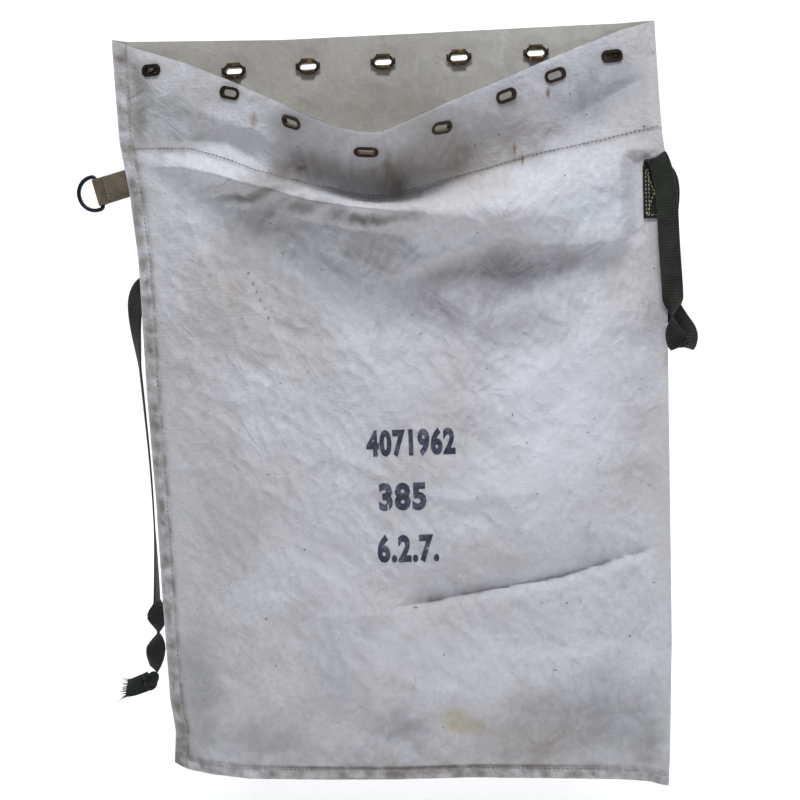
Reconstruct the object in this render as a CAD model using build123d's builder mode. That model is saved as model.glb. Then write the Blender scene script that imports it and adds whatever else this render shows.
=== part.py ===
from build123d import *
from math import atan2, cos, degrees, hypot, radians, sin, tan
import os

# Cash deposit bag: a canvas sack that hangs from oblong eyelets in its back wall.
# X runs to the right, the front faces -Y, Z is up. The origin is on the line of the back
# eyelets, at the middle of the bag, on the inner face of the back wall. Sizes are in mm.

os.makedirs("parts", exist_ok=True)

# ---- driving dimensions
cloth = 1.4  # canvas wall as it is modelled
half_width = 252.0  # half of the flat width
mouth_z = 26.0  # top edge of the back wall above the eyelet line
bottom_z = -680.0
hem_depth = 100.0  # turned-in hem all round the mouth
seam_width = 12.0  # felled seam at the left, and the sewn margin at the bottom
fold_margin = 20.0  # flat cloth along the folded right side
gap = 0.1  # between layers of cloth that lie on each other

eyelet_length, eyelet_height = 21.0, 11.0  # outer rim of an oblong eyelet
slot_length, slot_height = 15.6, 5.6  # its clear slot
barrel_wall = 0.9
rim_thickness = 1.0
eyelet_air = 0.3  # between the metal and the cloth
back_pitch = 70.0
back_count = 7

webbing = 1.6  # thickness of the strap and the tab
strap_width = 19.0
tab_width = 25.4
wire = 3.8  # D-ring wire


def strip_between(low, high):
    """Middle and size of a box between two corners, as a pair of tuples."""
    middle = tuple((a + b) / 2 for a, b in zip(low, high))
    return middle, tuple(b - a for a, b in zip(low, high))


def save(builder, name):
    """Label a finished sub-part and write its STEP file."""
    builder.part.label = name
    export_step(builder.part, f"parts/{name}.step")
    print(name, "solids", len(builder.part.solids()), "volume", round(builder.part.volume))


# ---- the hanging shape of the front wall
# Side profiles from the mouth to the bottom, as (depth forward, z). The middle one slumps:
# its lip hangs low and leans out, the wall bulges in a roll below the hem and falls back.
ripple = 0.1  # the sides are as good as flat
side_profile = [
    (0, mouth_z), (ripple, -70), (0, -118), (ripple, -185), (0, -400), (ripple, -600),
    (0, -668), (ripple, bottom_z),
]
left_profile = [
    (44, -22), (36, -97), (58, -140), (42, -190), (46, -400), (26, -600), (1, -668), (1, bottom_z)
]
right_profile = [
    (42, -24), (36, -99), (58, -142), (42, -190), (46, -400), (26, -600), (1, -668), (1, bottom_z)
]
middle_profile = [
    (110, -80), (44, -128), (92, -152), (62, -192), (60, -400), (34, -600), (1, -668), (1, bottom_z)
]
quarter_x = 125.0
middle_x = 20.0
profiles = [
    (-half_width, side_profile),
    (-half_width + seam_width, side_profile),
    (-quarter_x, left_profile),
    (-middle_x, middle_profile),
    (middle_x, middle_profile),
    (quarter_x, right_profile),
    (half_width - fold_margin, side_profile),
    (half_width, side_profile),
]


def front_shell(near=gap, far=gap + cloth):
    """Loft the front wall, or a layer over it, through its side profiles in the open part."""
    sections = []
    for x, profile in profiles:
        with BuildSketch(Plane.YZ.offset(x)) as section:
            with BuildLine():
                outer = [(-depth - far, z) for depth, z in profile]
                inner = [(-depth - near, z) for depth, z in reversed(profile)]
                Polyline(*outer, *inner, close=True)
            make_face()
        sections.append(section.sketch.face())
    for pair in zip(sections, sections[1:]):
        loft(pair, ruled=True)


def front_depth(x, z):
    """Depth of the outer face of the front wall at x and z, by the same straight lines."""
    for (xa, pa), (xb, pb) in zip(profiles, profiles[1:]):
        if xa <= x <= xb:
            t = (x - xa) / (xb - xa)
            line = [
                ((1 - t) * da + t * db, (1 - t) * za + t * zb)
                for (da, za), (db, zb) in zip(pa, pb)
            ]
            for (d0, z0), (d1, z1) in zip(line, line[1:]):
                if z1 <= z <= z0:
                    s = (z0 - z) / (z0 - z1)
                    return d0 + s * (d1 - d0) + cloth + gap
    raise ValueError(f"the front wall has no point at {x}, {z}")


def front_plane(x, z, turn):
    """Plane on the front wall at x and z, its own z outwards, its x turned by degrees."""
    step = 6.0
    slope_x = (front_depth(x + step, z) - front_depth(x - step, z)) / (2 * step)
    slope_z = (front_depth(x, z + step) - front_depth(x, z - step)) / (2 * step)
    outwards = Vector(-slope_x, -1, -slope_z).normalized()
    level = Vector(cos(radians(turn)), -slope_x * cos(radians(turn)), sin(radians(turn)))
    along = (level - outwards * level.dot(outwards)).normalized()
    return Plane(origin=(x, -front_depth(x, z), z), x_dir=along, z_dir=outwards)


# ---- where the lip parts from the wall below it
# The lip turns about the line between the two top corners of the mouth. Everything of it
# stays nearer to that line than the wall beneath, so nothing meets as it swings.
lip_corner_x = 190.0
lip_depth_z = -188.0
lip_gap = 1.2
lip_outline = [(-lip_corner_x, 60), (-lip_corner_x, -5), (0, lip_depth_z)]
lip_outline += [(lip_corner_x, -5), (lip_corner_x, 60)]


def lip_prism(grow, mode):
    """The region of the lip, seen from the front, grown on its sides and lower edge."""
    with BuildSketch(Plane.XZ) as region:
        with BuildLine():
            Polyline(*lip_outline, close=True)
        make_face()
        if grow:
            offset(amount=grow, kind=Kind.INTERSECTION)
    extrude(region.sketch, amount=300, both=True, mode=mode)


front_eyelets = [  # x, z and tilt of each, from left to right
    (-216, 3, -3), (-136, -28, -17), (-76, -62, -30), (-9, -94, -12),
    (55, -75, 17), (111, -46, 24), (155, -27, 20), (207, -9, 8),
]
lip_eyelets = front_eyelets[1:-1]
end_eyelets = [front_eyelets[0], front_eyelets[-1]]
hole_length = slot_length + 2 * barrel_wall + 2 * eyelet_air
hole_height = slot_height + 2 * barrel_wall + 2 * eyelet_air


def pierce(planes):
    """Cut the hole for an eyelet's barrel at each plane, through the open part."""
    for plane in planes:
        with BuildSketch(plane) as hole:
            SlotOverall(hole_length, hole_height)
        extrude(hole.sketch, amount=8, both=True, mode=Mode.SUBTRACT)


def eyelets(planes, wall):
    """Oblong eyelets: a rim outside, a clinched rim inside, and a barrel between them."""
    for plane in planes:
        outside = plane.offset(eyelet_air)
        inside = plane.offset(-wall - eyelet_air)
        with BuildSketch(outside) as rim:
            SlotOverall(eyelet_length, eyelet_height)
        extrude(rim.sketch, amount=rim_thickness)
        with BuildSketch(inside) as clinch:
            SlotOverall(eyelet_length - 1, eyelet_height + 1)
        extrude(clinch.sketch, amount=-rim_thickness)
        with BuildSketch(inside) as barrel:
            SlotOverall(slot_length + 2 * barrel_wall, slot_height + 2 * barrel_wall)
        extrude(barrel.sketch, amount=wall + 2 * eyelet_air)
        with BuildSketch(outside) as slot:
            SlotOverall(slot_length, slot_height)
        extrude(slot.sketch, amount=12, both=True, mode=Mode.SUBTRACT)


lip_planes = [front_plane(x, z, turn) for x, z, turn in lip_eyelets]
end_planes = [front_plane(x, z, turn) for x, z, turn in end_eyelets]

with BuildPart() as front_panel:
    front_shell()
    lip_prism(lip_gap, Mode.SUBTRACT)
    pierce(end_planes)
save(front_panel, "front_panel")

with BuildPart() as front_lip:
    front_shell()
    lip_prism(0, Mode.INTERSECT)
    pierce(lip_planes)
save(front_lip, "front_lip")

with BuildPart() as front_lip_eyelets:
    eyelets(lip_planes, cloth)
save(front_lip_eyelets, "front_lip_eyelets")

with BuildPart() as front_end_eyelets:
    eyelets(end_planes, cloth)
save(front_end_eyelets, "front_end_eyelets")

# ---- back wall, with its turned-in hem on the inside
back_eyelet_places = [back_pitch * (i - (back_count - 1) / 2) for i in range(back_count)]


def wall_plate(x0, x1, y0, y1, z0, z1):
    """A flat layer of cloth between the given limits."""
    middle, size = strip_between((x0, y0, z0), (x1, y1, z1))
    with Locations(middle):
        Box(*size)


def back_holes():
    """The holes for the back eyelets, through the open part."""
    with BuildSketch(Plane.XZ) as holes:
        with Locations(*[(x, 0) for x in back_eyelet_places]):
            SlotOverall(hole_length, hole_height)
    extrude(holes.sketch, amount=8, both=True, mode=Mode.SUBTRACT)


hem_side = 26.0  # the hem layer stops short of the sides, where the front wall closes in
with BuildPart() as back_panel:
    wall_plate(-half_width, half_width, 0, cloth, bottom_z, mouth_z)
    back_holes()
save(back_panel, "back_panel")

with BuildPart() as back_hem:
    hem_bottom = mouth_z - hem_depth
    wall_plate(hem_side - half_width, half_width - fold_margin - 12, -cloth - gap, -gap, hem_bottom, mouth_z)
    back_holes()
save(back_hem, "back_hem")

back_eyelet_planes = [
    Plane(origin=(x, cloth, 0), x_dir=(1, 0, 0), z_dir=(0, 1, 0))
    for x in back_eyelet_places
]
with BuildPart() as back_eyelets:
    eyelets(back_eyelet_planes, 2 * cloth + gap)
save(back_eyelets, "back_eyelets")

# ---- seams: folded cloth that lies over the front wall's flat margins
seam_thickness = 1.4
seam_face = cloth + 3 * gap
with BuildPart() as side_seam:
    wall_plate(
        -half_width, -half_width + seam_width - 1,
        -seam_face - seam_thickness, -seam_face, bottom_z + seam_width, mouth_z,
    )
save(side_seam, "side_seam")

with BuildPart() as bottom_seam:
    bottom_face = seam_face + 1.0
    wall_plate(
        -half_width, half_width,
        -bottom_face - seam_thickness, -bottom_face, bottom_z, bottom_z + seam_width - 1,
    )
save(bottom_seam, "bottom_seam")

# ---- thread, as one flat line of lockstitch on each seam
thread = 0.8
thread_height = 0.4
with BuildPart() as side_seam_stitching:
    y = -seam_face - seam_thickness
    x = -half_width + seam_width - 3
    wall_plate(x - thread, x, y - thread_height, y, bottom_z + seam_width, mouth_z - 2)
save(side_seam_stitching, "side_seam_stitching")

with BuildPart() as bottom_seam_stitching:
    y = -bottom_face - seam_thickness
    z = bottom_z + seam_width - 3
    wall_plate(3 - half_width, half_width - 3, y - thread_height, y, z - thread, z)
save(bottom_seam_stitching, "bottom_seam_stitching")

hem_line = [(x, profile[1][1] + 3) for x, profile in profiles]


def hem_thread():
    """The line of thread along the lower edge of the front hem, in the open part."""
    front_shell(gap + cloth, gap + cloth + thread_height)
    with BuildSketch(Plane.XZ) as band:
        with BuildLine():
            upper = [(x, z + thread / 2) for x, z in hem_line]
            lower = [(x, z - thread / 2) for x, z in reversed(hem_line)]
            Polyline(*upper, *lower, close=True)
        make_face()
    extrude(band.sketch, amount=300, both=True, mode=Mode.INTERSECT)


with BuildPart() as lip_hem_stitching:
    hem_thread()
    lip_prism(0, Mode.INTERSECT)
save(lip_hem_stitching, "lip_hem_stitching")

with BuildPart() as front_hem_stitching:
    hem_thread()
    lip_prism(lip_gap, Mode.SUBTRACT)
    with Locations((-half_width, 0, 0)):
        Box(2 * seam_width, 20, 400, mode=Mode.SUBTRACT)
save(front_hem_stitching, "front_hem_stitching")

with BuildPart() as back_hem_stitching:
    z = mouth_z - hem_depth + 3
    wall_plate(3 - half_width, half_width - 3, cloth, cloth + thread_height, z - thread, z)
save(back_hem_stitching, "back_hem_stitching")

# ---- ring tab: webbing sewn behind the left edge, folded round the bar of a D-ring
tab_tilt = 14.0  # its free end hangs a little lower
tab_bend_x = -half_width - 2.6  # where the free loop starts to turn
tab_middle_z = -99.0
tab_y = cloth + gap + webbing  # middle of its two layers
tab_reach = 24.0  # from the bend to the bar of the ring
sewn_length = 32.0
bar_air = 0.35
bend_air = 1.4  # soft length of the bend, left out of the free loop so that it can turn

tab_frame = Plane(
    origin=(tab_bend_x, tab_y, tab_middle_z),
    x_dir=(-cos(radians(tab_tilt)), 0, -sin(radians(tab_tilt))),
    z_dir=(-sin(radians(tab_tilt)), 0, cos(radians(tab_tilt))),
)
# In this plane x runs out along the tab, y forwards or back across its layers, z up its width.
eye = wire / 2 + bar_air
with BuildPart() as ring_tab:
    with BuildSketch(tab_frame.offset(-tab_width / 2)):
        with Locations(((tab_reach + bend_air) / 2, 0)):
            Rectangle(tab_reach - bend_air, 2 * webbing)
        with Locations((tab_reach, 0)):
            Circle(eye + webbing)
            Circle(eye, mode=Mode.SUBTRACT)
    extrude(amount=tab_width)
save(ring_tab, "ring_tab")

with BuildPart() as ring_tab_root:
    with BuildSketch(tab_frame.offset(-tab_width / 2)):
        with Locations((-sewn_length / 2 - 0.2, 0)):
            Rectangle(sewn_length - 0.4, 2 * webbing)
    extrude(amount=tab_width)
save(ring_tab_root, "ring_tab_root")

with BuildPart() as ring_tab_stitching:
    back_face = Plane(
        origin=tab_frame.from_local_coords((-sewn_length / 2, 0, 0)) + Vector(0, webbing, 0),
        x_dir=tab_frame.x_dir,
        z_dir=(0, 1, 0),
    )
    with BuildSketch(back_face):
        Rectangle(sewn_length - 8, tab_width - 6)
        Rectangle(sewn_length - 8 - 2 * thread, tab_width - 6 - 2 * thread, mode=Mode.SUBTRACT)
    extrude(amount=thread_height)
save(ring_tab_stitching, "ring_tab_stitching")

# ---- D-ring of round wire: a straight bar through the eye, and a bow
ring_half = tab_width / 2 + 3.2
ring_side = 4.0
corner = 3.4
ring_plane = Plane(
    origin=tab_frame.from_local_coords((tab_reach, 0, 0)),
    x_dir=tab_frame.x_dir,
    z_dir=(0, -1, 0),
)
with BuildPart() as d_ring:
    reach = ring_side + ring_half
    outline = [(0, -ring_half), (0, ring_half), (reach, ring_half), (reach, -ring_half)]
    bow_radius = ring_half - 0.6
    with BuildLine(ring_plane) as ring_path:
        FilletPolyline(*outline, radius=[corner, corner, bow_radius, bow_radius], close=True)
    start = ring_path.line @ 0
    with BuildSketch(Plane(origin=start, z_dir=ring_path.line % 0)):
        Circle(wire / 2)
    sweep(path=ring_path.line)
save(d_ring, "d_ring")
print("ring bar middle", ring_plane.origin, "along", tab_frame.z_dir)


# ---- closing strap
def bend_radii(points):
    """The largest arc that each corner of a route has room for."""
    radii = []
    for a, b, c in zip(points, points[1:], points[2:]):
        run_in, run_out = Vector(*b) - Vector(*a), Vector(*c) - Vector(*b)
        half_turn = radians(run_in.get_angle(run_out)) / 2
        radii.append(0.45 * min(run_in.length, run_out.length) / tan(half_turn))
    print("bend radii", [round(r, 1) for r in radii])
    return radii


sewn_middle_x = half_width - strap_width / 2 + 0.5
sewn_top_z = -107.0
sewn_height = 47.0
sewn_y = -(cloth + 3 * gap + webbing / 2)
with BuildPart() as strap_sewn_end:
    with Locations((sewn_middle_x, sewn_y, sewn_top_z - sewn_height / 2)):
        Box(strap_width, webbing, sewn_height)
save(strap_sewn_end, "strap_sewn_end")

with BuildPart() as strap_stitching:
    face = Plane(
        origin=(sewn_middle_x, sewn_y - webbing / 2, sewn_top_z - sewn_height / 2),
        x_dir=(1, 0, 0),
        z_dir=(0, -1, 0),
    )
    box_width, box_height = strap_width - 4, sewn_height - 6
    with BuildSketch(face):
        Rectangle(box_width, box_height)
        Rectangle(box_width - 2 * thread, box_height - 2 * thread, mode=Mode.SUBTRACT)
        slant = degrees(atan2(box_height - 1, box_width - 1))
        for angle in (slant, -slant):
            with Locations(Rotation(0, 0, angle)):
                Rectangle(hypot(box_width, box_height) - 3, thread)
    extrude(amount=thread_height)
save(strap_stitching, "strap_stitching")

# It folds over at the top of the sewn end, falls in front, and turns up again beside the
# bag's edge. In this plane x runs down along the fall and y towards the back.
fall_lean = 8.0
fall_plane = Plane(
    origin=(sewn_middle_x, sewn_y, sewn_top_z + 1.45),
    x_dir=(sin(radians(fall_lean)), 0, -cos(radians(fall_lean))),
    z_dir=(cos(radians(fall_lean)), 0, sin(radians(fall_lean))),
)
fall_route = [
    (0, 0), (-5.5, 0), (-7.5, -5), (-1, -7.4), (9, -6.6), (36, -5.8), (72, -6.4),
    (112, -5.0), (146, -6.2), (164, -5.0), (173, 1.5), (167, 8.5), (155, 9.6),
]
with BuildPart() as strap_front_fall:
    with BuildLine() as fall_line:
        FilletPolyline(*fall_route, radius=bend_radii(fall_route))
    local = fall_line.line
    with BuildSketch(fall_plane.offset(-strap_width / 2)):
        trace(local, line_width=webbing)
    extrude(amount=strap_width)
save(strap_front_fall, "strap_front_fall")
fall_length = sum(edge.length for edge in local.edges())

# Behind the bag it lies flat against the back: up beside the edge, over in a fold, across in
# a slack curve, over in a second fold at the left edge, and down to its knot.
back_route = [
    (264.3, -258.4), (261.6, -241), (264.4, -202), (265.6, -156), (264.8, -126), (258, -111),
    (242, -108.5), (222, -122), (186, -156), (140, -184), (90, -203), (34, -214),
    (-24, -216), (-82, -211), (-136, -201), (-182, -189), (-216, -181.5), (-240, -183),
    (-249.5, -198), (-250.5, -226), (-248, -268), (-246.4, -318), (-243.6, -376),
    (-243.2, -436), (-244.4, -490), (-248.8, -528), (-254.4, -556), (-258, -572),
]
back_y = sewn_y + 9.6
with BuildPart() as strap_back_run:
    with BuildLine() as run_line:
        FilletPolyline(*back_route, radius=bend_radii(back_route))
    run_local = run_line.line
    with BuildSketch(Plane.XZ.offset(-back_y - webbing / 2)):
        trace(run_local, line_width=strap_width)
    extrude(amount=webbing)
save(strap_back_run, "strap_back_run")
run_length = sum(edge.length for edge in run_local.edges())
section = webbing * strap_width
print("strap length", round(sewn_height + fall_length + run_length))
print("fall volume over section x length", strap_front_fall.part.volume / section / fall_length)
print("run volume over section x length", strap_back_run.part.volume / section / run_length)

knot_radius = 8.5
with BuildPart() as strap_knot:
    with Locations((-262, back_y, -572 - knot_radius - 3)):
        Sphere(knot_radius)
    with Locations(Location((-278, back_y, -590), (0, 20, 0))):
        Box(26, webbing, 17)
save(strap_knot, "strap_knot")
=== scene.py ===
# %% [markdown]
# # A canvas deposit bag
# The bag is a flat sack of heavy cotton canvas that hangs from oblong eyelets in its back
# wall. Its mouth gapes: the front lip sags in a V and leans out, and the wall below it
# bulges in a roll. A webbing strap is sewn on at the right, passes behind the bag and ends
# in a knot at the left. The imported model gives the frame: sizes, places and moving bodies.

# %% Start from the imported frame
import bpy
import math
import numpy as np
from mathutils import Matrix, Vector, noise


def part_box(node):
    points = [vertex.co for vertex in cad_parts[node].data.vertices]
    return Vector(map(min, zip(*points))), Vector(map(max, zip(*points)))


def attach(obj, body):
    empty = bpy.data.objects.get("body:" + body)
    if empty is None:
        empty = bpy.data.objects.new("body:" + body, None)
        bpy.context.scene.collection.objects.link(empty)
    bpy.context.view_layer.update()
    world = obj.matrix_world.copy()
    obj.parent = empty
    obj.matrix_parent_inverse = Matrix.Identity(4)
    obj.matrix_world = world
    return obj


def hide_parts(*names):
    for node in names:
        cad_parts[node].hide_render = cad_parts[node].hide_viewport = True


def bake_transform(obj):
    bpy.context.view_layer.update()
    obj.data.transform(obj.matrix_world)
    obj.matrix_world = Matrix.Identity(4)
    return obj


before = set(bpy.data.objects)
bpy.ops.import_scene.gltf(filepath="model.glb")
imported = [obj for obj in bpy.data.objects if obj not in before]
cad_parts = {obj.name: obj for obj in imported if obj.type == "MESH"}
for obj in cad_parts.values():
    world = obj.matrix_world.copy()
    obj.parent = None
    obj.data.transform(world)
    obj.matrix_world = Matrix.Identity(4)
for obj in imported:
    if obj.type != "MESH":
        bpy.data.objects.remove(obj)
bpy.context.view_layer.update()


def deselect():
    """Nothing is selected, so that the next operator acts on new work only."""
    if bpy.context.object and bpy.context.object.mode != "OBJECT":
        bpy.ops.object.mode_set(mode="OBJECT")
    bpy.ops.object.select_all(action="DESELECT")


def pick(obj):
    """Select one object and make it active."""
    deselect()
    obj.select_set(True)
    bpy.context.view_layer.objects.active = obj


# %% [markdown]
# ## Camera
# The bag is looked at from the front, a little right of its middle and from just above its
# half height, with a normal lens. The camera leans over slightly.

# %% Camera
eye = Vector((0.0961, -1.0320, -0.2353))
pitch, yaw, roll = (math.radians(v) for v in (-4.286, -5.139, -2.235))
ahead = Vector((math.sin(yaw) * math.cos(pitch), math.cos(yaw) * math.cos(pitch), math.sin(pitch)))
level = ahead.cross(Vector((0, 0, 1))).normalized()
upright = level.cross(ahead)
side = level * math.cos(roll) + upright * math.sin(roll)
top = upright * math.cos(roll) - level * math.sin(roll)
camera_data = bpy.data.cameras.new("camera")
camera_data.lens = 49.5
camera_data.sensor_width = 36.0
camera = bpy.data.objects.new("camera", camera_data)
bpy.context.scene.collection.objects.link(camera)
camera.matrix_world = Matrix.Translation(eye) @ Matrix(
    [(side.x, top.x, -ahead.x), (side.y, top.y, -ahead.y), (side.z, top.z, -ahead.z)]
).to_4x4()
bpy.context.scene.camera = camera
print("camera at", tuple(round(v, 3) for v in eye))

# %% [markdown]
# ## Colours and nodes
# Colours are written as sRGB hex, as a paint maker gives them, and one function turns them
# to the linear values that a shader wants. A second small function adds any node.

# %% Colour and node helpers
def tone(code, alpha=1.0):
    """Linear colour of an sRGB hex value."""
    parts = [int(code[i:i + 2], 16) / 255 for i in (1, 3, 5)]
    linear = [c / 12.92 if c <= 0.04045 else ((c + 0.055) / 1.055) ** 2.4 for c in parts]
    return (*linear, alpha)


def add(tree, kind, links=None, **settings):
    """Add a node; settings are its own values, links feed or set its sockets by name or number."""
    node = tree.nodes.new(kind)
    for key, value in settings.items():
        setattr(node, key, value)
    for socket, value in (links or {}).items():
        if isinstance(value, bpy.types.NodeSocket):
            tree.links.new(value, node.inputs[socket])
        else:
            node.inputs[socket].default_value = value
    return node


def blank(name):
    """A new material with its tree and its main shader."""
    material = bpy.data.materials.new(name)
    material.use_nodes = True
    tree = material.node_tree
    return material, tree, tree.nodes["Principled BSDF"]


def mix(tree, amount, a, b, how="MIX"):
    """Mix two colours by an amount; colours or sockets."""
    node = add(tree, "ShaderNodeMix", {0: amount, 6: a, 7: b}, data_type="RGBA", blend_type=how)
    return node.outputs[2]


def ramp(tree, value, low, high, out_low=0.0, out_high=1.0):
    """Rescale a value from one range to another with soft ends."""
    node = add(
        tree, "ShaderNodeMapRange",
        {0: value, 1: low, 2: high, 3: out_low, 4: out_high}, interpolation_type="SMOOTHSTEP",
    )
    return node.outputs[0]


def sums(tree, kind, a, b):
    """One arithmetic node."""
    return add(tree, "ShaderNodeMath", {0: a, 1: b}, operation=kind).outputs[0]


def heap(tree, *layers):
    """Height of several layers of relief, each with its own depth in metres."""
    parts = [sums(tree, "MULTIPLY", value, depth) for value, depth in layers]
    total = parts[0]
    for part in parts[1:]:
        total = sums(tree, "ADD", total, part)
    return total


def grain(tree, vector, size, detail=4.0, rough=0.55, warp=0.0, stretch=None):
    """Noise whose features are about size metres across."""
    if stretch:
        vector = add(tree, "ShaderNodeMapping", {0: vector, 3: stretch}).outputs[0]
    node = add(
        tree, "ShaderNodeTexNoise",
        {"Vector": vector, "Scale": 1 / size, "Detail": detail, "Roughness": rough, "Distortion": warp},
    )
    return node.outputs[0]


def waves(tree, vector, scale, distortion, detail, way):
    """Even ribs across one direction."""
    node = add(
        tree, "ShaderNodeTexWave",
        {"Vector": vector, "Scale": scale, "Distortion": distortion, "Detail": detail}, bands_direction=way,
    )
    return node.outputs[1]


# %% [markdown]
# ## Canvas
# The sack is unbleached cotton canvas gone grey with use. The eye gets a matt, cloudy
# surface: cool grey where it is worn clean, warmer where hands and floors have soiled it,
# with brown and yellow tide marks, rust below the eyelets, dark specks and fine crinkles.
# The dark patches below the roll, in the hollow and on the hem are painted shade, on the hem
# over real soil, and pale patches on the lit parts of the front are painted highlights.
# Real yarns are about 0.6 mm apart, too fine to show, so the weave is drawn at 1.8 mm.
# The patterns read the cloth's own flat layout in metres, so they bend with the cloth.

# %% Canvas material
# Marks of colour: stains and soil, with painted shade and painted highlights among them.
marks = [  # across, up, half width, half height in mm, colour, strength
    (-165, -215, 60, 75, "#A59A94", 0.5), (-90, -250, 60, 60, "#ACA6A2", 0.35),
    # hem and lip: soil darkened further with painted shade where the lip leans out over it
    (-195, -58, 50, 12, "#8F8D8A", 0.5), (-20, -100, 75, 24, "#7D7060", 0.5),
    (-92, -98, 50, 20, "#77706B", 0.6), (64, -88, 66, 30, "#7C7062", 0.6),
    (125, -66, 44, 34, "#867F7F", 0.6), (190, -40, 56, 36, "#868A91", 0.7),
    (2, -96, 9, 30, "#6E665A", 0.6), (-205, -30, 44, 36, "#8F9193", 0.6),
    # painted shadow under the roll (this row and the next), with a painted highlight on the bulge above it
    (-128, -117, 46, 9, "#6E6765", 0.85), (-84, -130, 44, 8, "#7E7878", 0.8),
    (-22, -140, 50, 10, "#6A6462", 0.9), (-130, -66, 34, 16, "#C8CAD0", 0.5),
    # painted shade in the hollow below the roll
    (122, -192, 84, 26, "#747377", 0.72), (45, -228, 76, 40, "#87838A", 0.65),
    (110, -240, 60, 36, "#8E8A8F", 0.5), (-205, -590, 34, 70, "#8E9090", 0.6),
    # the second mark here is a painted highlight above the hollow
    (-150, -645, 70, 24, "#9A989A", 0.5), (60, -168, 60, 10, "#C9CBD2", 0.5),
    (195, -615, 66, 60, "#8A8B8E", 0.65), (125, -632, 66, 34, "#8A827E", 0.7),
    # the second mark here is painted shade on one side of a fold low down
    (-10, -632, 44, 24, "#8E8D92", 0.65), (-72, -590, 34, 50, "#A3A3A8", 0.45),
    (58, -628, 30, 14, "#AE9E78", 0.55), (-45, -625, 38, 22, "#B1A6A4", 0.4),
    # the pale bluish marks from here on are painted highlights on the lit front
    (10, -676, 60, 8, "#96897A", 0.5), (150, -330, 80, 80, "#D9DCE4", 0.8),
    (110, -400, 90, 50, "#D6D9DF", 0.6), (-10, -550, 50, 44, "#D8D9DE", 0.6),
    (-62, -470, 70, 34, "#D2D2D8", 0.5), (190, -140, 60, 22, "#CDD3DB", 0.6),
    (0, -300, 70, 60, "#C6C7CE", 0.4), (-215, -400, 26, 90, "#C9CBD0", 0.5),
    (60, -560, 80, 40, "#CFD0D6", 0.5), (228, -640, 20, 40, "#88888A", 0.5),
    (-120, -400, 50, 70, "#B4ADAD", 0.45), (110, -460, 70, 26, "#B4B0B0", 0.4),
    (205, -30, 40, 30, "#A9ACB2", 0.4), (160, -60, 34, 12, "#8F8D92", 0.45),
    (-236, -20, 18, 56, "#75736C", 0.8), (-240, -120, 12, 60, "#8B8A84", 0.5),
    (-178, -124, 50, 14, "#BABDC2", 0.5),
]
rust = [  # small brown marks by the eyelets, a streak below the hem and a row of spots
    (-124, -46, 5, 8), (-80, -92, 6, 3), (150, -36, 2.5, 6), (118, -84, 1.6, 7), (125, -95, 1.6, 6),
    (-136, -188, 2, 2), (-132, -198, 1.6, 2.2), (-129, -206, 1.8, 2), (-126, -214, 1.4, 2),
    (-122, -222, 1.8, 2.4), (-119, -231, 1.6, 2),
]


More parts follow.
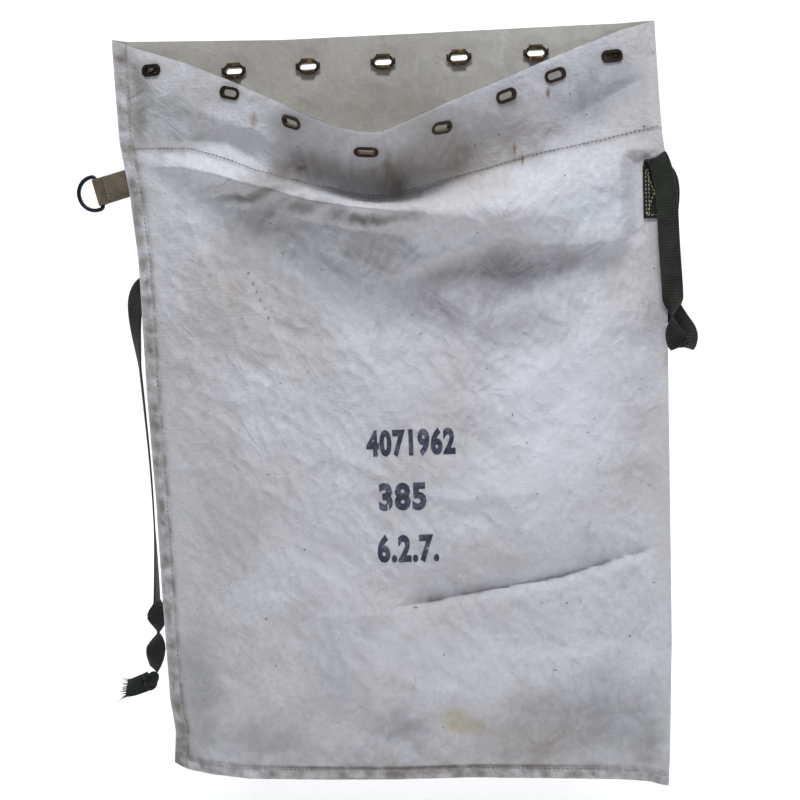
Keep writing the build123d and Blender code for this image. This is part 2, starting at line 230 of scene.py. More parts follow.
def canvas(name, clean, soiled, with_marks=True, relief=0.95):
    """Soiled cotton canvas, seen by its colour, its crinkles and its weave; its marks add painted shade and
    highlights.
    """
    material, tree, shader = blank(name)
    flat = add(tree, "ShaderNodeUVMap", uv_map="flat").outputs[0]
    dirt_and_lip_highlight = add(tree, "ShaderNodeAttribute", attribute_name="dirt_and_lip_highlight").outputs["Fac"]
    cloudy = grain(tree, flat, 0.16, 6, 0.62, 0.6)
    blotchy = grain(tree, flat, 0.045, 8, 0.68, 1.2)
    fine = grain(tree, flat, 0.006, 5, 0.7)
    streaks = grain(tree, flat, 0.02, 6, 0.7, 0.8, (1.0, 0.35, 1.0))
    colour = mix(tree, ramp(tree, cloudy, 0.38, 0.62), tone(clean), tone(soiled))
    colour = mix(tree, ramp(tree, blotchy, 0.5, 0.72, 0, 0.42), colour, tone("#A8A4A2"))
    colour = mix(tree, ramp(tree, streaks, 0.56, 0.75, 0, 0.34), colour, tone("#D3D5DA"))
    colour = mix(tree, ramp(tree, fine, 0.35, 0.7, 0.0, 0.22), colour, tone("#8E8C8C"))
    wobble = add(tree, "ShaderNodeTexNoise", {"Vector": flat, "Scale": 22.0, "Detail": 5.0})
    level_grey = (0.5, 0.5, 0.5)
    shift = add(tree, "ShaderNodeVectorMath", {0: wobble.outputs[1], 1: level_grey}, operation="SUBTRACT")
    shift = add(tree, "ShaderNodeVectorMath", {0: shift.outputs[0], "Scale": 0.05}, operation="SCALE")
    wander = add(tree, "ShaderNodeVectorMath", {0: flat, 1: shift.outputs[0]}, operation="ADD").outputs[0]
    spots = [(*m, 0.5) for m in marks] if with_marks else []
    spots += [(x, z, w, h, "#7A5636", 0.75, 0.12) for x, z, w, h in rust] if with_marks else []
    # each mark and rust spot mixes its colour in: stains and rust, and the painted shade and highlights of
    # the marks
    for x, z, w, h, code, strength, reach in spots:
        source = wander if reach > 0.2 else flat
        place = add(
            tree, "ShaderNodeMapping", {0: source, 1: (x / 1000, z / 1000, 0), 3: (w / 1000, h / 1000, 1)},
            vector_type="TEXTURE",
        ).outputs[0]
        far = add(tree, "ShaderNodeVectorMath", {0: place}, operation="LENGTH").outputs["Value"]
        amount = ramp(tree, far, 1.25, 0.1, 0.0, strength)
        patchy = sums(tree, "MULTIPLY", amount, ramp(tree, blotchy, 0.3, 0.6, 0.45, 1.15))
        colour = mix(tree, patchy, colour, tone(code))
    # dirt from the mesh, with the lip's edge left clean as a painted highlight
    colour = mix(tree, dirt_and_lip_highlight, colour, tone("#6F6962"))
    specks = add(tree, "ShaderNodeTexVoronoi", {"Vector": wander, "Scale": 85.0, "Randomness": 1.0})
    few = add(tree, "ShaderNodeSeparateColor", {0: specks.outputs["Color"]}).outputs[0]
    small = ramp(tree, specks.outputs["Distance"], 0.14, 0.05)
    speck = sums(tree, "MULTIPLY", small, ramp(tree, few, 0.86, 0.9))
    colour = mix(tree, sums(tree, "MULTIPLY", speck, 0.75), colour, tone("#57524E"))
    hairs = add(
        tree, "ShaderNodeTexVoronoi", {"Vector": wander, "Scale": 26.0, "Randomness": 1.0},
        feature="DISTANCE_TO_EDGE",
    ).outputs[0]
    broken = ramp(tree, grain(tree, flat, 0.03, 3), 0.56, 0.66)
    hair = sums(tree, "MULTIPLY", ramp(tree, hairs, 0.012, 0.0), broken)
    colour = mix(tree, sums(tree, "MULTIPLY", hair, 0.35), colour, tone("#77726E"))
    tree.links.new(colour, shader.inputs["Base Color"])
    shader.inputs["Roughness"].default_value = 0.92
    shader.inputs["Specular IOR Level"].default_value = 0.2
    shader.inputs["Sheen Weight"].default_value = 0.12
    warp, weft = (waves(tree, flat, 88.0, 1.2, 1.0, way) for way in "XY")
    yarn = sums(tree, "ADD", warp, weft)
    ridged = add(
        tree, "ShaderNodeTexNoise",
        {"Vector": wander, "Scale": 34.0, "Detail": 6.0, "Roughness": 0.62, "Distortion": 1.6},
        noise_type="RIDGED_MULTIFRACTAL",
    ).outputs[0]
    turned = add(tree, "ShaderNodeMapping", {0: flat, 2: (0, 0, 0.9)}).outputs[0]
    slanted = grain(tree, turned, 0.013, 4, 0.6, 2.2, (0.4, 1.0, 1.0))
    height = heap(tree, (ridged, 0.0012), (slanted, 0.0011), (yarn, 0.00005), (fine, 0.0009))
    bump = add(tree, "ShaderNodeBump", {"Strength": relief, "Distance": 1.0, "Height": height})
    tree.links.new(bump.outputs[0], shader.inputs["Normal"])
    return material


# the outside carries the painted shade and painted highlights of the marks
canvas_outside = canvas("cotton_canvas_worn_painted_shade_outside", "#CFD1D7", "#C3C1C3")
canvas_inside = canvas("cotton_canvas_inside", "#B8B6AF", "#A5A199", False, 0.35)
canvas_back = canvas("cotton_canvas_worn_back", "#C4C5C9", "#B4B1B0", False, 0.7)
print("canvas ready")

# %% [markdown]
# ## The shape of the hanging cloth
# Each point of the front wall has a flat place, across and up in mm, and a depth towards the
# front. The depth is read from a small table of profiles by smooth interpolation, and the
# folds that gravity and the straps pull into it are added as ridges and valleys along
# lines. Cloth that leans out also draws in a little towards a point far in front of the bag,
# as it must when its edges stay at the seams. This is modelled directly, because the folds
# have known places and a simulation would put them anywhere.

# %% Outline and depth table
left_edge = [
    (36, -256), (0, -255.5), (-60, -254), (-108, -247), (-171, -242), (-305, -241), (-403, -238),
    (-501, -237), (-601, -235), (-632, -231), (-667, -234), (-690, -233),
]
right_edge = [
    (30, 247), (20, 247), (-48, 250), (-79, 252), (-102, 255), (-180, 254), (-266, 253), (-414, 252),
    (-547, 251), (-660, 247), (-690, 245),
]
bottom_edge = [
    (-236, -663), (-222, -671), (-200, -676), (-159, -681), (-100, -682), (-11, -682), (60, -680),
    (133, -681), (200, -682), (228, -684), (240, -688), (252, -689),
]
lip_edge = [
    (-256, 36), (-243, 30), (-191, 12), (-145, -8), (-113, -24), (-89, -36), (-66, -48), (-43, -57),
    (-25, -62), (-8, -63), (3, -61), (13, -57), (30, -50), (51, -42), (107, -22), (162, -2), (216, 16),
    (252, 24),
]
back_top = [
    (-256, 36), (-243, 33), (-160, 29), (-96, 26), (51, 24), (150, 23), (216, 22), (252, 23),
]
hem_line = [
    (-256, -66), (-186, -70), (-150, -82), (-125, -93), (-64, -111), (-23, -121), (-8, -123), (20, -119),
    (58, -110), (135, -92), (191, -83), (256, -71),
]
crest_line = [
    (-256, -94), (-181, -96), (-118, -106), (-93, -115), (-73, -123), (-37, -129), (10, -134), (60, -142),
    (125, -135), (190, -120), (256, -104),
]
under_line = [
    (-256, -124), (-181, -126), (-118, -130), (-73, -143), (-37, -151), (10, -160), (27, -178),
    (58, -180), (125, -186), (190, -180), (256, -150),
]
columns = [-256, -240, -190, -140, -85, -30, 12, 70, 125, 180, 235, 256]
depth_rows = [
    [0, 0, 18, 40, 72, 109, 109, 76, 46, 22, 2, 0],  # lip
    [0, 0, 14, 30, 38, 44, 44, 40, 36, 16, 1, 0],  # hem line
    [0, 0, 24, 52, 74, 91, 92, 78, 58, 27, 3, 0],  # crest of the roll
    [0, 0, 18, 36, 50, 60, 60, 50, 40, 16, 1, 0],  # under the roll
    [0, 0, 22, 44, 54, 61, 62, 56, 48, 24, 3, 0],
    [0, 0, 12, 25, 31, 35, 35, 32, 27, 14, 2, 0],
    [0, 0, 1, 2, 2, 2, 2, 2, 2, 1, 0, 0],
    [0, 0, 0.5, 1, 1, 1, 1, 1, 1, 0.5, 0, 0],
]


def along(points, at):
    """Value of a drawn line at a place, smoothed over a few mm so that it has no corners."""
    xs, ys = np.array(sorted(points), float).T
    reach = np.linspace(-6, 6, 7)
    weights = np.exp(-(reach / 4) ** 2)
    at = np.asarray(at, float)
    return sum(w * np.interp(at + r, xs, ys) for r, w in zip(reach, weights)) / weights.sum()


def smooth(low, high, value):
    """Smooth step from 0 at low to 1 at high."""
    t = np.clip((value - low) / (high - low), 0, 1)
    return t * t * (3 - 2 * t)


def cubic(f):
    """Catmull-Rom weights of four neighbours."""
    outer = [(-f + 2 * f**2 - f**3) / 2, (f**3 - f**2) / 2]
    inner = [(2 - 5 * f**2 + 3 * f**3) / 2, (f + 4 * f**2 - 3 * f**3) / 2]
    return [outer[0], *inner, outer[1]]


def table_depth(a, b):
    """Depth of the hanging shape at flat places a, b."""
    table = np.array(depth_rows, float)
    keys = [along(line, a) for line in (lip_edge, hem_line, crest_line, under_line)]
    keys += [np.full_like(keys[0], v) for v in (-400, -600, -664, -690)]
    row = sum(np.clip((p - b) / np.maximum(p - q, 1), 0, 1) for p, q in zip(keys, keys[1:]))
    column = np.interp(a, columns, np.arange(len(columns)))
    i, j = np.floor(row).astype(int), np.floor(column).astype(int)
    total = 0
    for m, wr in enumerate(cubic(row - i)):
        for n, wc in enumerate(cubic(column - j)):
            total = total + wr * wc * table[np.clip(i + m - 1, 0, 7), np.clip(j + n - 1, 0, 11)]
    return np.maximum(total, 0)


crest_depth = table_depth(np.array([0.0]), np.array([-140.0]))[0]
print("depth at the middle of the crest", round(float(crest_depth), 1))

# %% [markdown]
# ## Folds
# A fold is a line with a height: a ridge stands out and a valley sinks in, each with its own
# softness above and below the line. Crinkles are ridged noise, strongest below the hem.
# The sewn edge at the left and the bottom puckers because the thread has drawn the cloth up.

# %% Fold functions
folds = [  # line, height in mm, softness above, softness below, in mm
    ([(-226, -83), (-192, -86), (-164, -93), (-131, -105), (-84, -120), (-37, -130), (6, -137)], 16, 15, 6),
    ([(-1, -196), (42, -180), (104, -169), (151, -175), (206, -172), (241, -148)], 11, 26, 12),
    ([(0, -512), (24, -507), (73, -498), (110, -492), (148, -485), (195, -472), (246, -457)], -16, 16, 3.6),
    ([(-87, -521), (-40, -522), (-4, -519)], 5, 14, 6), ([(-150, -497), (-98, -492)], -3, 10, 8),
    ([(0, -519), (-12, -583), (-24, -623)], 3.4, 9, 7),
    ([(-84, -522), (-91, -550), (-98, -577)], 4, 5, 5), ([(-50, -524), (-61, -575)], 4, 5, 6),
    ([(-63, -418), (-77, -450)], 3, 5, 5), ([(-100, -380), (-112, -430)], 2.6, 5, 6),
    ([(-4, -535), (-38, -620), (-58, -650)], 7, 12, 7), ([(-160, -430), (-190, -470)], 3, 6, 6),
    ([(0, -66), (1, -98), (-2, -124)], 10, 5, 4), ([(12, -74), (10, -124)], -4, 7, 7),
    ([(-205, -60), (-150, -66), (-120, -84)], -7, 12, 12),
    ([(-200, -26), (-150, -44), (-100, -66)], 6, 16, 16),
    ([(235, -28), (200, -44), (165, -62)], -4, 9, 9),
    ([(238, -118), (190, -140), (120, -150)], 4, 18, 12),
    ([(-240, -90), (-190, -150), (-160, -220)], 4, 20, 20),
    ([(-120, -150), (-60, -240), (10, -330)], 3, 22, 22),
    ([(235, -210), (190, -262), (120, -300), (40, -330)], 6, 20, 24),
    ([(0, -130), (2, -260), (4, -420)], 2, 6, 6),
    ([(-235, -470), (-150, -500), (-60, -505)], 2.5, 18, 12),
    ([(200, -560), (110, -600), (60, -660)], 4, 18, 18),
    ([(-210, -655), (-160, -610), (-110, -600)], 4, 14, 14),
    ([(240, -560), (215, -600), (190, -655)], 4, 12, 12),
    ([(-60, -405), (-20, -398), (60, -410), (150, -404)], 2.4, 9, 5),
    ([(60, -225), (90, -260), (95, -300)], 3, 9, 9), ([(20, -196), (60, -192), (140, -196)], -4, 14, 16),
    ([(130, -560), (165, -545), (230, -548)], -3, 12, 10),
]


def fold(a, b, line, height, above, below):
    """Height of one ridge or valley at flat places a, b, fading out at the line's ends."""
    best = np.full(a.shape, 1e9)
    signed = np.zeros(a.shape)
    place = np.zeros(a.shape)
    count = len(line) - 1
    for k, ((x0, z0), (x1, z1)) in enumerate(zip(line, line[1:])):
        dx, dz = x1 - x0, z1 - z0
        size = math.hypot(dx, dz)
        t = ((a - x0) * dx + (b - z0) * dz) / size**2
        clipped = np.clip(t, 0, 1)
        off = np.hypot(a - x0 - clipped * dx, b - z0 - clipped * dz)
        cross = (dx * (b - z0) - dz * (a - x0)) / size
        nearer = off < best
        best = np.where(nearer, off, best)
        signed = np.where(nearer, np.sign(cross) * off, signed)
        place = np.where(nearer, (k + clipped) / count, place)
    if line[0][0] > line[-1][0]:
        signed = -signed
    soft = np.where(signed > 0, above, below)
    fade = np.clip(np.sin(np.pi * np.clip(place * 0.86 + 0.07, 0, 1)) * 1.6, 0, 1)
    return height * fade * np.exp(-np.sqrt((best / soft) ** 2 + 0.04) + 0.2)


def speckle(a, b, size, seed, ridged=False):
    """Smooth noise of about size mm at each flat place."""
    out = np.empty(a.size)
    for k, (x, z) in enumerate(zip(a.ravel() / size, b.ravel() / size)):
        v = noise.noise((x, z, seed))
        out[k] = 1 - 2 * abs(v) if ridged else v
    return out.reshape(a.shape)


eyelet_places = [  # across, up, tilt in degrees
    (-216, 3, -3), (-136, -28, -17), (-76, -62, -30), (-9, -94, -12),
    (55, -75, 17), (111, -46, 24), (155, -27, 20), (207, -9, 8),
]
barrel_to_cloth = 0.7  # from the middle of an eyelet out to the face of the cloth, in mm


def eyelet_planes():
    """Place, tilt, depth and slopes of the wall at each eyelet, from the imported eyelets' flattest way."""
    nodes = [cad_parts[name] for name in ("front_lip_eyelets", "front_end_eyelets")]
    points = np.array([node.matrix_world @ v.co for node in nodes for v in node.data.vertices]) * 1000
    planes = []
    for x, z, tilt in eyelet_places:
        near = points[np.hypot(points[:, 0] - x, points[:, 2] - z) < 16]
        outwards = np.linalg.eigh(np.cov((near - near.mean(0)).T))[1][:, 0]
        outwards *= -np.sign(outwards[1])
        depth = -near.mean(0)[1] - outwards[1] * barrel_to_cloth
        planes.append((x, z, tilt, depth, outwards[0] / outwards[1], outwards[2] / outwards[1]))
    return planes


front_eyelets = eyelet_planes()


def drawn_in(a, b, depth):
    """Points in metres of cloth at flat places a, b that stands out by depth, all in mm."""
    t = depth / 1032.0
    x = a + t * (96.1 - a)
    z = b + t * (-235.3 - b)
    return np.stack([x, -depth, z], -1) / 1000


def front_depth(a, b):
    """Depth of the outside of the front wall, with its folds, puckers and crinkles."""
    a, b = np.asarray(a, float), np.asarray(b, float)
    depth = table_depth(a, b)
    from_left = a - along(left_edge, b)
    from_right = along(right_edge, b) - a
    from_bottom = b - along(bottom_edge, a)
    inner = smooth(2, 40, from_left) * smooth(2, 30, from_right) * smooth(2, 26, from_bottom)
    for line, height, above, below in folds:
        depth = depth + inner * fold(a, b, line, height, above, below)
    under_hem = along(hem_line, a) - b
    slack = smooth(-10, 30, under_hem) * inner
    large = speckle(a, b, 62, 3.1) * 7.0 + speckle(a, b, 30, 7.7) * 3.0
    turned_a, turned_b = a * 0.8 - b * 0.6, a * 0.6 + b * 0.8
    creased = speckle(turned_a * 0.7, turned_b * 1.5, 26, 1.3, True) * 1.5
    creased = creased + speckle(turned_a * 1.5, turned_b * 0.8, 15, 5.9, True) * 0.9
    creased = creased + speckle(a * 1.3 + b * 0.5, b * 0.6 - a * 0.3, 22, 14.2, True) * 1.4
    depth = depth + inner * 0.3 * large + slack * (0.7 * large + creased)
    stiff = smooth(6, -8, under_hem) * inner
    depth = depth + stiff * (speckle(a * 2.2, b * 0.8, 22, 9.2) * 1.1 + 0.8)
    depth = depth - 1.0 * np.exp(-((under_hem - 0.5) / 1.6) ** 2) * smooth(6, 14, from_left)
    depth = depth + inner * speckle(a, b, 9, 2.2) * 1.2 * np.exp(-((under_hem - 5) / 8.0) ** 2)
    pucker = np.exp(-((from_left - 6) / 7.0) ** 2)
    gathered = 1.0 + 1.5 * speckle(a * 0.3, b, 7.5, 4.4) + speckle(a * 0.4, b, 3.4, 8.4) * 0.6
    depth = depth + 1.1 + pucker * gathered
    depth = depth - 1.1 * np.exp(-((from_left - 13) / 1.4) ** 2)
    lower = np.exp(-((from_bottom - 5) / 5.5) ** 2)
    depth = depth + lower * (1.0 + 1.6 * speckle(a, b * 0.3, 9, 6.1))
    depth = depth - 1.3 * np.exp(-((from_bottom - 12) / 1.5) ** 2) * smooth(4, 16, from_left)
    patch = smooth(212, 230, a) * smooth(-180, -166, b) * smooth(-90, -100, b)
    depth = depth * (1 - patch) + np.minimum(depth, 1.3) * patch
    for x, z, tilt, d, slope_x, slope_z in front_eyelets:
        t = d / 1032.0
        ca, cb = (x - t * 96.1) / (1 - t), (z + t * 235.3) / (1 - t)
        far = np.hypot(a - ca, (b - cb) * 1.25)
        plane = d + slope_x * (a - ca) * (1 - t) + slope_z * (b - cb) * (1 - t)
        near = smooth(34, 13, far)
        depth = depth * (1 - near) + plane * near
    edge = np.minimum(np.minimum(from_left, from_right), from_bottom)
    depth = depth * (0.25 + 0.75 * smooth(0, 5, edge))
    return np.maximum(depth, 0.4)


print("folds", len(folds))

# %% [markdown]
# ## The front wall in two halves
# A soft fold runs down the middle of the front, so the wall is made as a left and a right
# half that meet on it. A grid of points is laid over the flat half, lifted to its depth,
# given its thickness, and holes are opened where the eyelets pass. Every point's normal comes
# from the whole surface, so the join doesn't show.

# %% Cloth helpers
def front_points(a, b):
    """Points and outward normals of the front wall at flat places."""
    step = 1.2
    points = drawn_in(a, b, front_depth(a, b))
    across = drawn_in(a + step, b, front_depth(a + step, b)) - drawn_in(a - step, b, front_depth(a - step, b))
    up = drawn_in(a, b + step, front_depth(a, b + step)) - drawn_in(a, b - step, front_depth(a, b - step))
    normals = np.cross(across, up)
    return points, normals / np.linalg.norm(normals, axis=-1, keepdims=True)


def dirt_and_lip_highlight_at(a, b):
    """Dirt by hand, thread and floor: along the seams, at the mouth and near the eyelets; the lip's edge is
    left clean as a painted highlight.
    """
    from_left = a - along(left_edge, b)
    from_bottom = b - along(bottom_edge, a)
    under_hem = along(hem_line, a) - b
    rough = 0.6 + 0.9 * speckle(a, b, 12, 11.0) + 0.6 * speckle(a, b, 5, 12.0)
    dirt = 0.75 * np.exp(-((from_left - 6) / 7.0) ** 2) * np.clip(rough, 0, 1.4)
    dirt = dirt + 0.5 * np.exp(-((from_left - 12.5) / 1.3) ** 2) * np.clip(rough + 0.2, 0, 1)
    dirt = dirt + 0.5 * np.exp(-((from_bottom - 5) / 7.0) ** 2) * np.clip(rough, 0, 1.4)
    dirt = dirt + 0.62 * np.exp(-((from_bottom - 11.5) / 1.1) ** 2) * np.clip(rough + 0.45, 0, 1)
    dirt = dirt + 0.35 * np.exp(-((under_hem - 1) / 1.4) ** 2) * smooth(8, 16, from_left)
    handled = smooth(0, -14, under_hem) * np.exp(-((a - 15) / 95.0) ** 2)
    dirt = dirt + 0.2 * handled * np.clip(0.7 + rough, 0, 1.3)
    dirt = dirt + 0.2 * smooth(-620, -672, b) * np.clip(rough, 0, 1)
    dirt = dirt + 0.3 * np.exp(-((a + 218) / 26) ** 2 - ((b + 645) / 40) ** 2)
    for x, z, tilt, d, slope_x, slope_z in front_eyelets:
        t = d / 1032.0
        ca, cb = (x - t * 96.1) / (1 - t), (z + t * 235.3) / (1 - t)
        dirt = dirt + 0.3 * np.exp(-((a - ca) / 15) ** 2 - ((b - cb) / 8) ** 2)
    # Painted highlight: the dirt is cleared from the lip's edge so that it shows as a pale line.
    edge = np.exp(-((along(lip_edge, a) - b) / 2.4) ** 2)
    return np.clip(dirt * (1 - 0.9 * edge), 0, 0.85)


def oblong(u, v, half_length, radius):
    """Signed distance to an oblong with round ends, below 0 inside it."""
    return np.hypot(np.maximum(np.abs(u) - (half_length - radius), 0), v) - radius


def cloth_mesh(name, a, b, points, normals, holes, thickness, material, lining):
    """Mesh of a cloth grid with both faces, rims at its free edges, and holes for eyelets."""
    rows, cols = a.shape
    keep = np.ones((rows, cols), bool)
    points = points.copy()
    for centre, e1, e2 in holes:
        local = points - centre
        u, v, w = local @ e1, local @ e2, local @ np.cross(e1, e2)
        inside = (oblong(u, v, 0.0088, 0.0038) < 0) & (np.abs(w) < 0.02)
        deep = (oblong(u, v, 0.0088, 0.0038) < -0.0021) & inside
        keep &= ~deep
        for i, j in zip(*np.nonzero(inside & ~deep)):
            core = np.clip(u[i, j], -0.005, 0.005)
            out = np.array([u[i, j] - core, v[i, j]])
            out = out / max(np.linalg.norm(out), 1e-9) * 0.0039
            points[i, j] = centre + e1 * (core + out[0]) + e2 * out[1] + np.cross(e1, e2) * w[i, j]
    count = rows * cols
    index = np.arange(count).reshape(rows, cols)
    quads = np.stack([index[:-1, :-1], index[1:, :-1], index[1:, 1:], index[:-1, 1:]], -1).reshape(-1, 4)
    solid = keep.ravel()[quads].all(1)
    quads = quads[solid]
    sides = np.concatenate([quads[:, [k, (k + 1) % 4]] for k in range(4)])
    _, back_to, uses = np.unique(np.sort(sides, 1), axis=0, return_inverse=True, return_counts=True)
    free = sides[uses[back_to.ravel()] == 1]
    rims = np.stack([free[:, 1], free[:, 0], free[:, 0] + count, free[:, 1] + count], -1)
    faces = np.concatenate([quads, quads[:, ::-1] + count, rims])
    back = points - normals * thickness
    every = np.concatenate([points.reshape(-1, 3), back.reshape(-1, 3)])
    used = np.unique(faces)
    remap = np.full(2 * count, -1)
    remap[used] = np.arange(len(used))
    mesh = bpy.data.meshes.new(name)
    mesh.from_pydata(every[used].tolist(), [], remap[faces].tolist())
    flat = np.stack([a.ravel(), b.ravel()], -1) / 1000
    flat = np.concatenate([flat, flat])[used]
    layer = mesh.uv_layers.new(name="flat")
    corner = np.empty(len(mesh.loops), np.int64)
    mesh.loops.foreach_get("vertex_index", corner)
    layer.data.foreach_set("uv", flat[corner].astype(np.float32).ravel())
    dirt = dirt_and_lip_highlight_at(a, b).ravel()
    dirt = np.concatenate([dirt, dirt * 0.5])[used]
    mesh.attributes.new("dirt_and_lip_highlight", "FLOAT", "POINT").data.foreach_set("value", dirt.astype(np.float32))
    mesh.materials.append(material)
    mesh.materials.append(lining)
    material_index = np.zeros(len(faces), np.int32)
    material_index[len(quads):2 * len(quads)] = 1
    mesh.polygons.foreach_set("material_index", material_index)
    mesh.polygons.foreach_set("use_smooth", np.ones(len(faces), bool))
    both = np.concatenate([normals.reshape(-1, 3), -normals.reshape(-1, 3)])[used]
    mesh.update()
    mesh.normals_split_custom_set_from_vertices(both.tolist())
    piece = bpy.data.objects.new(name, mesh)
    bpy.context.scene.collection.objects.link(piece)
    print(name, "faces", len(faces))
    return piece


def eyelet_frame(x, z, tilt, depth, slope_x, slope_z):
    """Centre and two directions of an eyelet on the front wall."""
    outwards = Vector((-slope_x, -1, -slope_z)).normalized()
    turn = math.radians(tilt)
    level_line = Vector((math.cos(turn), -slope_x * math.cos(turn), math.sin(turn)))
    e1 = (level_line - outwards * level_line.dot(outwards)).normalized()
    e2 = outwards.cross(e1)
    return np.array((x, -depth, z)) / 1000, np.array(e1), np.array(e2)


# %% [markdown]
# The grid is finer towards the seams and the mouth than in the plain middle, because that is
# where the cloth is creased most sharply.

# %% Front wall
spacing = 2.3


def half_grid(low, high):
    """Flat places of a half of the front, from its lip to its bottom edge."""
    cols = int((high - low) / spacing) + 1
    rows = int(706 / spacing) + 1
    u = np.linspace(0, 1, cols)
    v = np.linspace(0, 1, rows)
    u = u + 0.035 * np.sin(2 * np.pi * u) * (-1)
    v = v ** 1.12
    b0 = np.linspace(30, -685, rows)
    a = np.zeros((rows, cols))
    b = np.repeat(b0[:, None], cols, 1)
    for _ in range(4):
        left = np.maximum(along(left_edge, b), -1e3) if low < -1 else np.zeros_like(b)
        right = along(right_edge, b) if high > 1 else np.zeros_like(b)
        a = left + (right - left) * u[None, :]
        top_b, low_b = along(lip_edge, a[0]), along(bottom_edge, a[-1])
        b = top_b[None, :] + (low_b - top_b)[None, :] * v[:, None]
    return a, b


hole_frames = [eyelet_frame(*e) for e in front_eyelets]
halves = []
for name, low, high in (("front_wall_left", -252, 0), ("front_wall_right", 0, 252)):
    a, b = half_grid(low, high)
    points, normals = front_points(a, b)
    halves.append(cloth_mesh(name, a, b, points, normals, hole_frames, 0.0013, canvas_outside, canvas_inside))

# %% [markdown]
# ## The back wall
# The back hangs flat against what it is hooked to. It shares the outline of the front and is
# only lightly waved. Its inner face shows above the lip, darker and warmer than the outside,
# with seven oblong eyelets.

# %% Back wall
back_eyelet_places = range(-210, 211, 70)


def back_depth(a, b):
    """How far the back wall stands forward of its own plane, in mm."""
    wave = speckle(a, b, 70, 21.0) * 0.8 + speckle(a * 0.8 - b * 0.6, a * 0.6 + b * 0.8, 24, 23.0, True) * 0.5
    from_left, from_right = a - along(left_edge, b), along(right_edge, b) - a
    seam = np.exp(-((from_left - 6) / 7) ** 2) * speckle(a, b, 7, 24.0)
    seam = seam - 0.9 * np.exp(-((from_left - 13) / 1.5) ** 2)
    hem = 0.8 * smooth(-78, -73, b) - 0.8 * np.exp(-((b + 71) / 1.5) ** 2)
    inner = smooth(0, 12, from_left) * smooth(0, 12, from_right)
    for x in back_eyelet_places:
        inner = inner * smooth(12, 22, np.hypot(a - x, b * 1.2))
    return 0.6 + (wave + hem) * inner * 0.8 + seam * 0.4


back_spacing = 3.2
cols, rows = int(500 / back_spacing) + 1, int(700 / back_spacing) + 1
u, v = np.linspace(0, 1, cols), np.linspace(0, 1, rows)
b = np.repeat(np.linspace(30, -680, rows)[:, None], cols, 1)
for _ in range(4):
    a = along(left_edge, b) + (along(right_edge, b) - along(left_edge, b)) * u[None, :]
    top_b, low_b = along(back_top, a[0]), along(bottom_edge, a[-1])
    b = top_b[None, :] + (low_b - top_b)[None, :] * v[:, None]


def back_place(a, b):
    """Points of the inner face of the back wall in metres."""
    return np.stack([a, 0.3 - back_depth(a, b) * 0.8, b], -1) / 1000


points = back_place(a, b)
across = back_place(a + 1, b) - back_place(a - 1, b)
up = back_place(a, b + 1) - back_place(a, b - 1)
normals = np.cross(across, up)
normals = normals / np.linalg.norm(normals, axis=-1, keepdims=True)
along_x, along_z = np.array((1.0, 0, 0)), np.array((0, 0, 1.0))
back_holes = [(along_x * x / 1000, along_x, along_z) for x in back_eyelet_places]
back_wall = cloth_mesh("back_wall", a, b, points, normals, back_holes, 0.0014, canvas_inside, canvas_back)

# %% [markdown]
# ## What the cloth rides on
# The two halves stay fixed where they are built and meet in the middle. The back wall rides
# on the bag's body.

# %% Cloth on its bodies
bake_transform(halves[0])
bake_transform(halves[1])
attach(back_wall, "bag_body")
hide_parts("front_panel", "side_seam", "bottom_seam")
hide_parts("front_lip")
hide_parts("back_panel", "back_hem")

# %% [markdown]
# ## Stitches
# A lockstitch shows as short dashes of thread that sink into the cloth at both ends. One
# stitch is modelled from a low sphere, drawn out and flattened, and copied along each seam.

# %% Thread
def thread_material(name, code, dirty):
    """Twisted cotton thread, matt, soiled unevenly."""
    material, tree, shader = blank(name)
    where = add(tree, "ShaderNodeTexCoord").outputs["Object"]
    patch = grain(tree, where, 0.02, 4, 0.6)
    fibre = grain(tree, where, 0.0006, 3, 0.6)
    colour = mix(tree, ramp(tree, patch, 0.4, 0.65), tone(code), tone(dirty))
    tree.links.new(colour, shader.inputs["Base Color"])
    bump = add(tree, "ShaderNodeBump", {"Strength": 0.5, "Distance": 0.0004, "Height": fibre})
    tree.links.new(bump.outputs[0], shader.inputs["Normal"])
    shader.inputs["Roughness"].default_value = 0.85
    return material


cloth_thread = thread_material("cotton_thread_soiled", "#A29E98", "#77716A")
strap_thread = thread_material("cotton_thread_pale", "#B5AE9C", "#857E6E")

deselect()
bpy.ops.mesh.primitive_uv_sphere_add(segments=6, ring_count=4, radius=0.5)
stitch = bpy.context.object
stitch_points = np.array([v.co for v in stitch.data.vertices])
stitch_faces = [tuple(p.vertices) for p in stitch.data.polygons]
bpy.data.objects.remove(stitch)


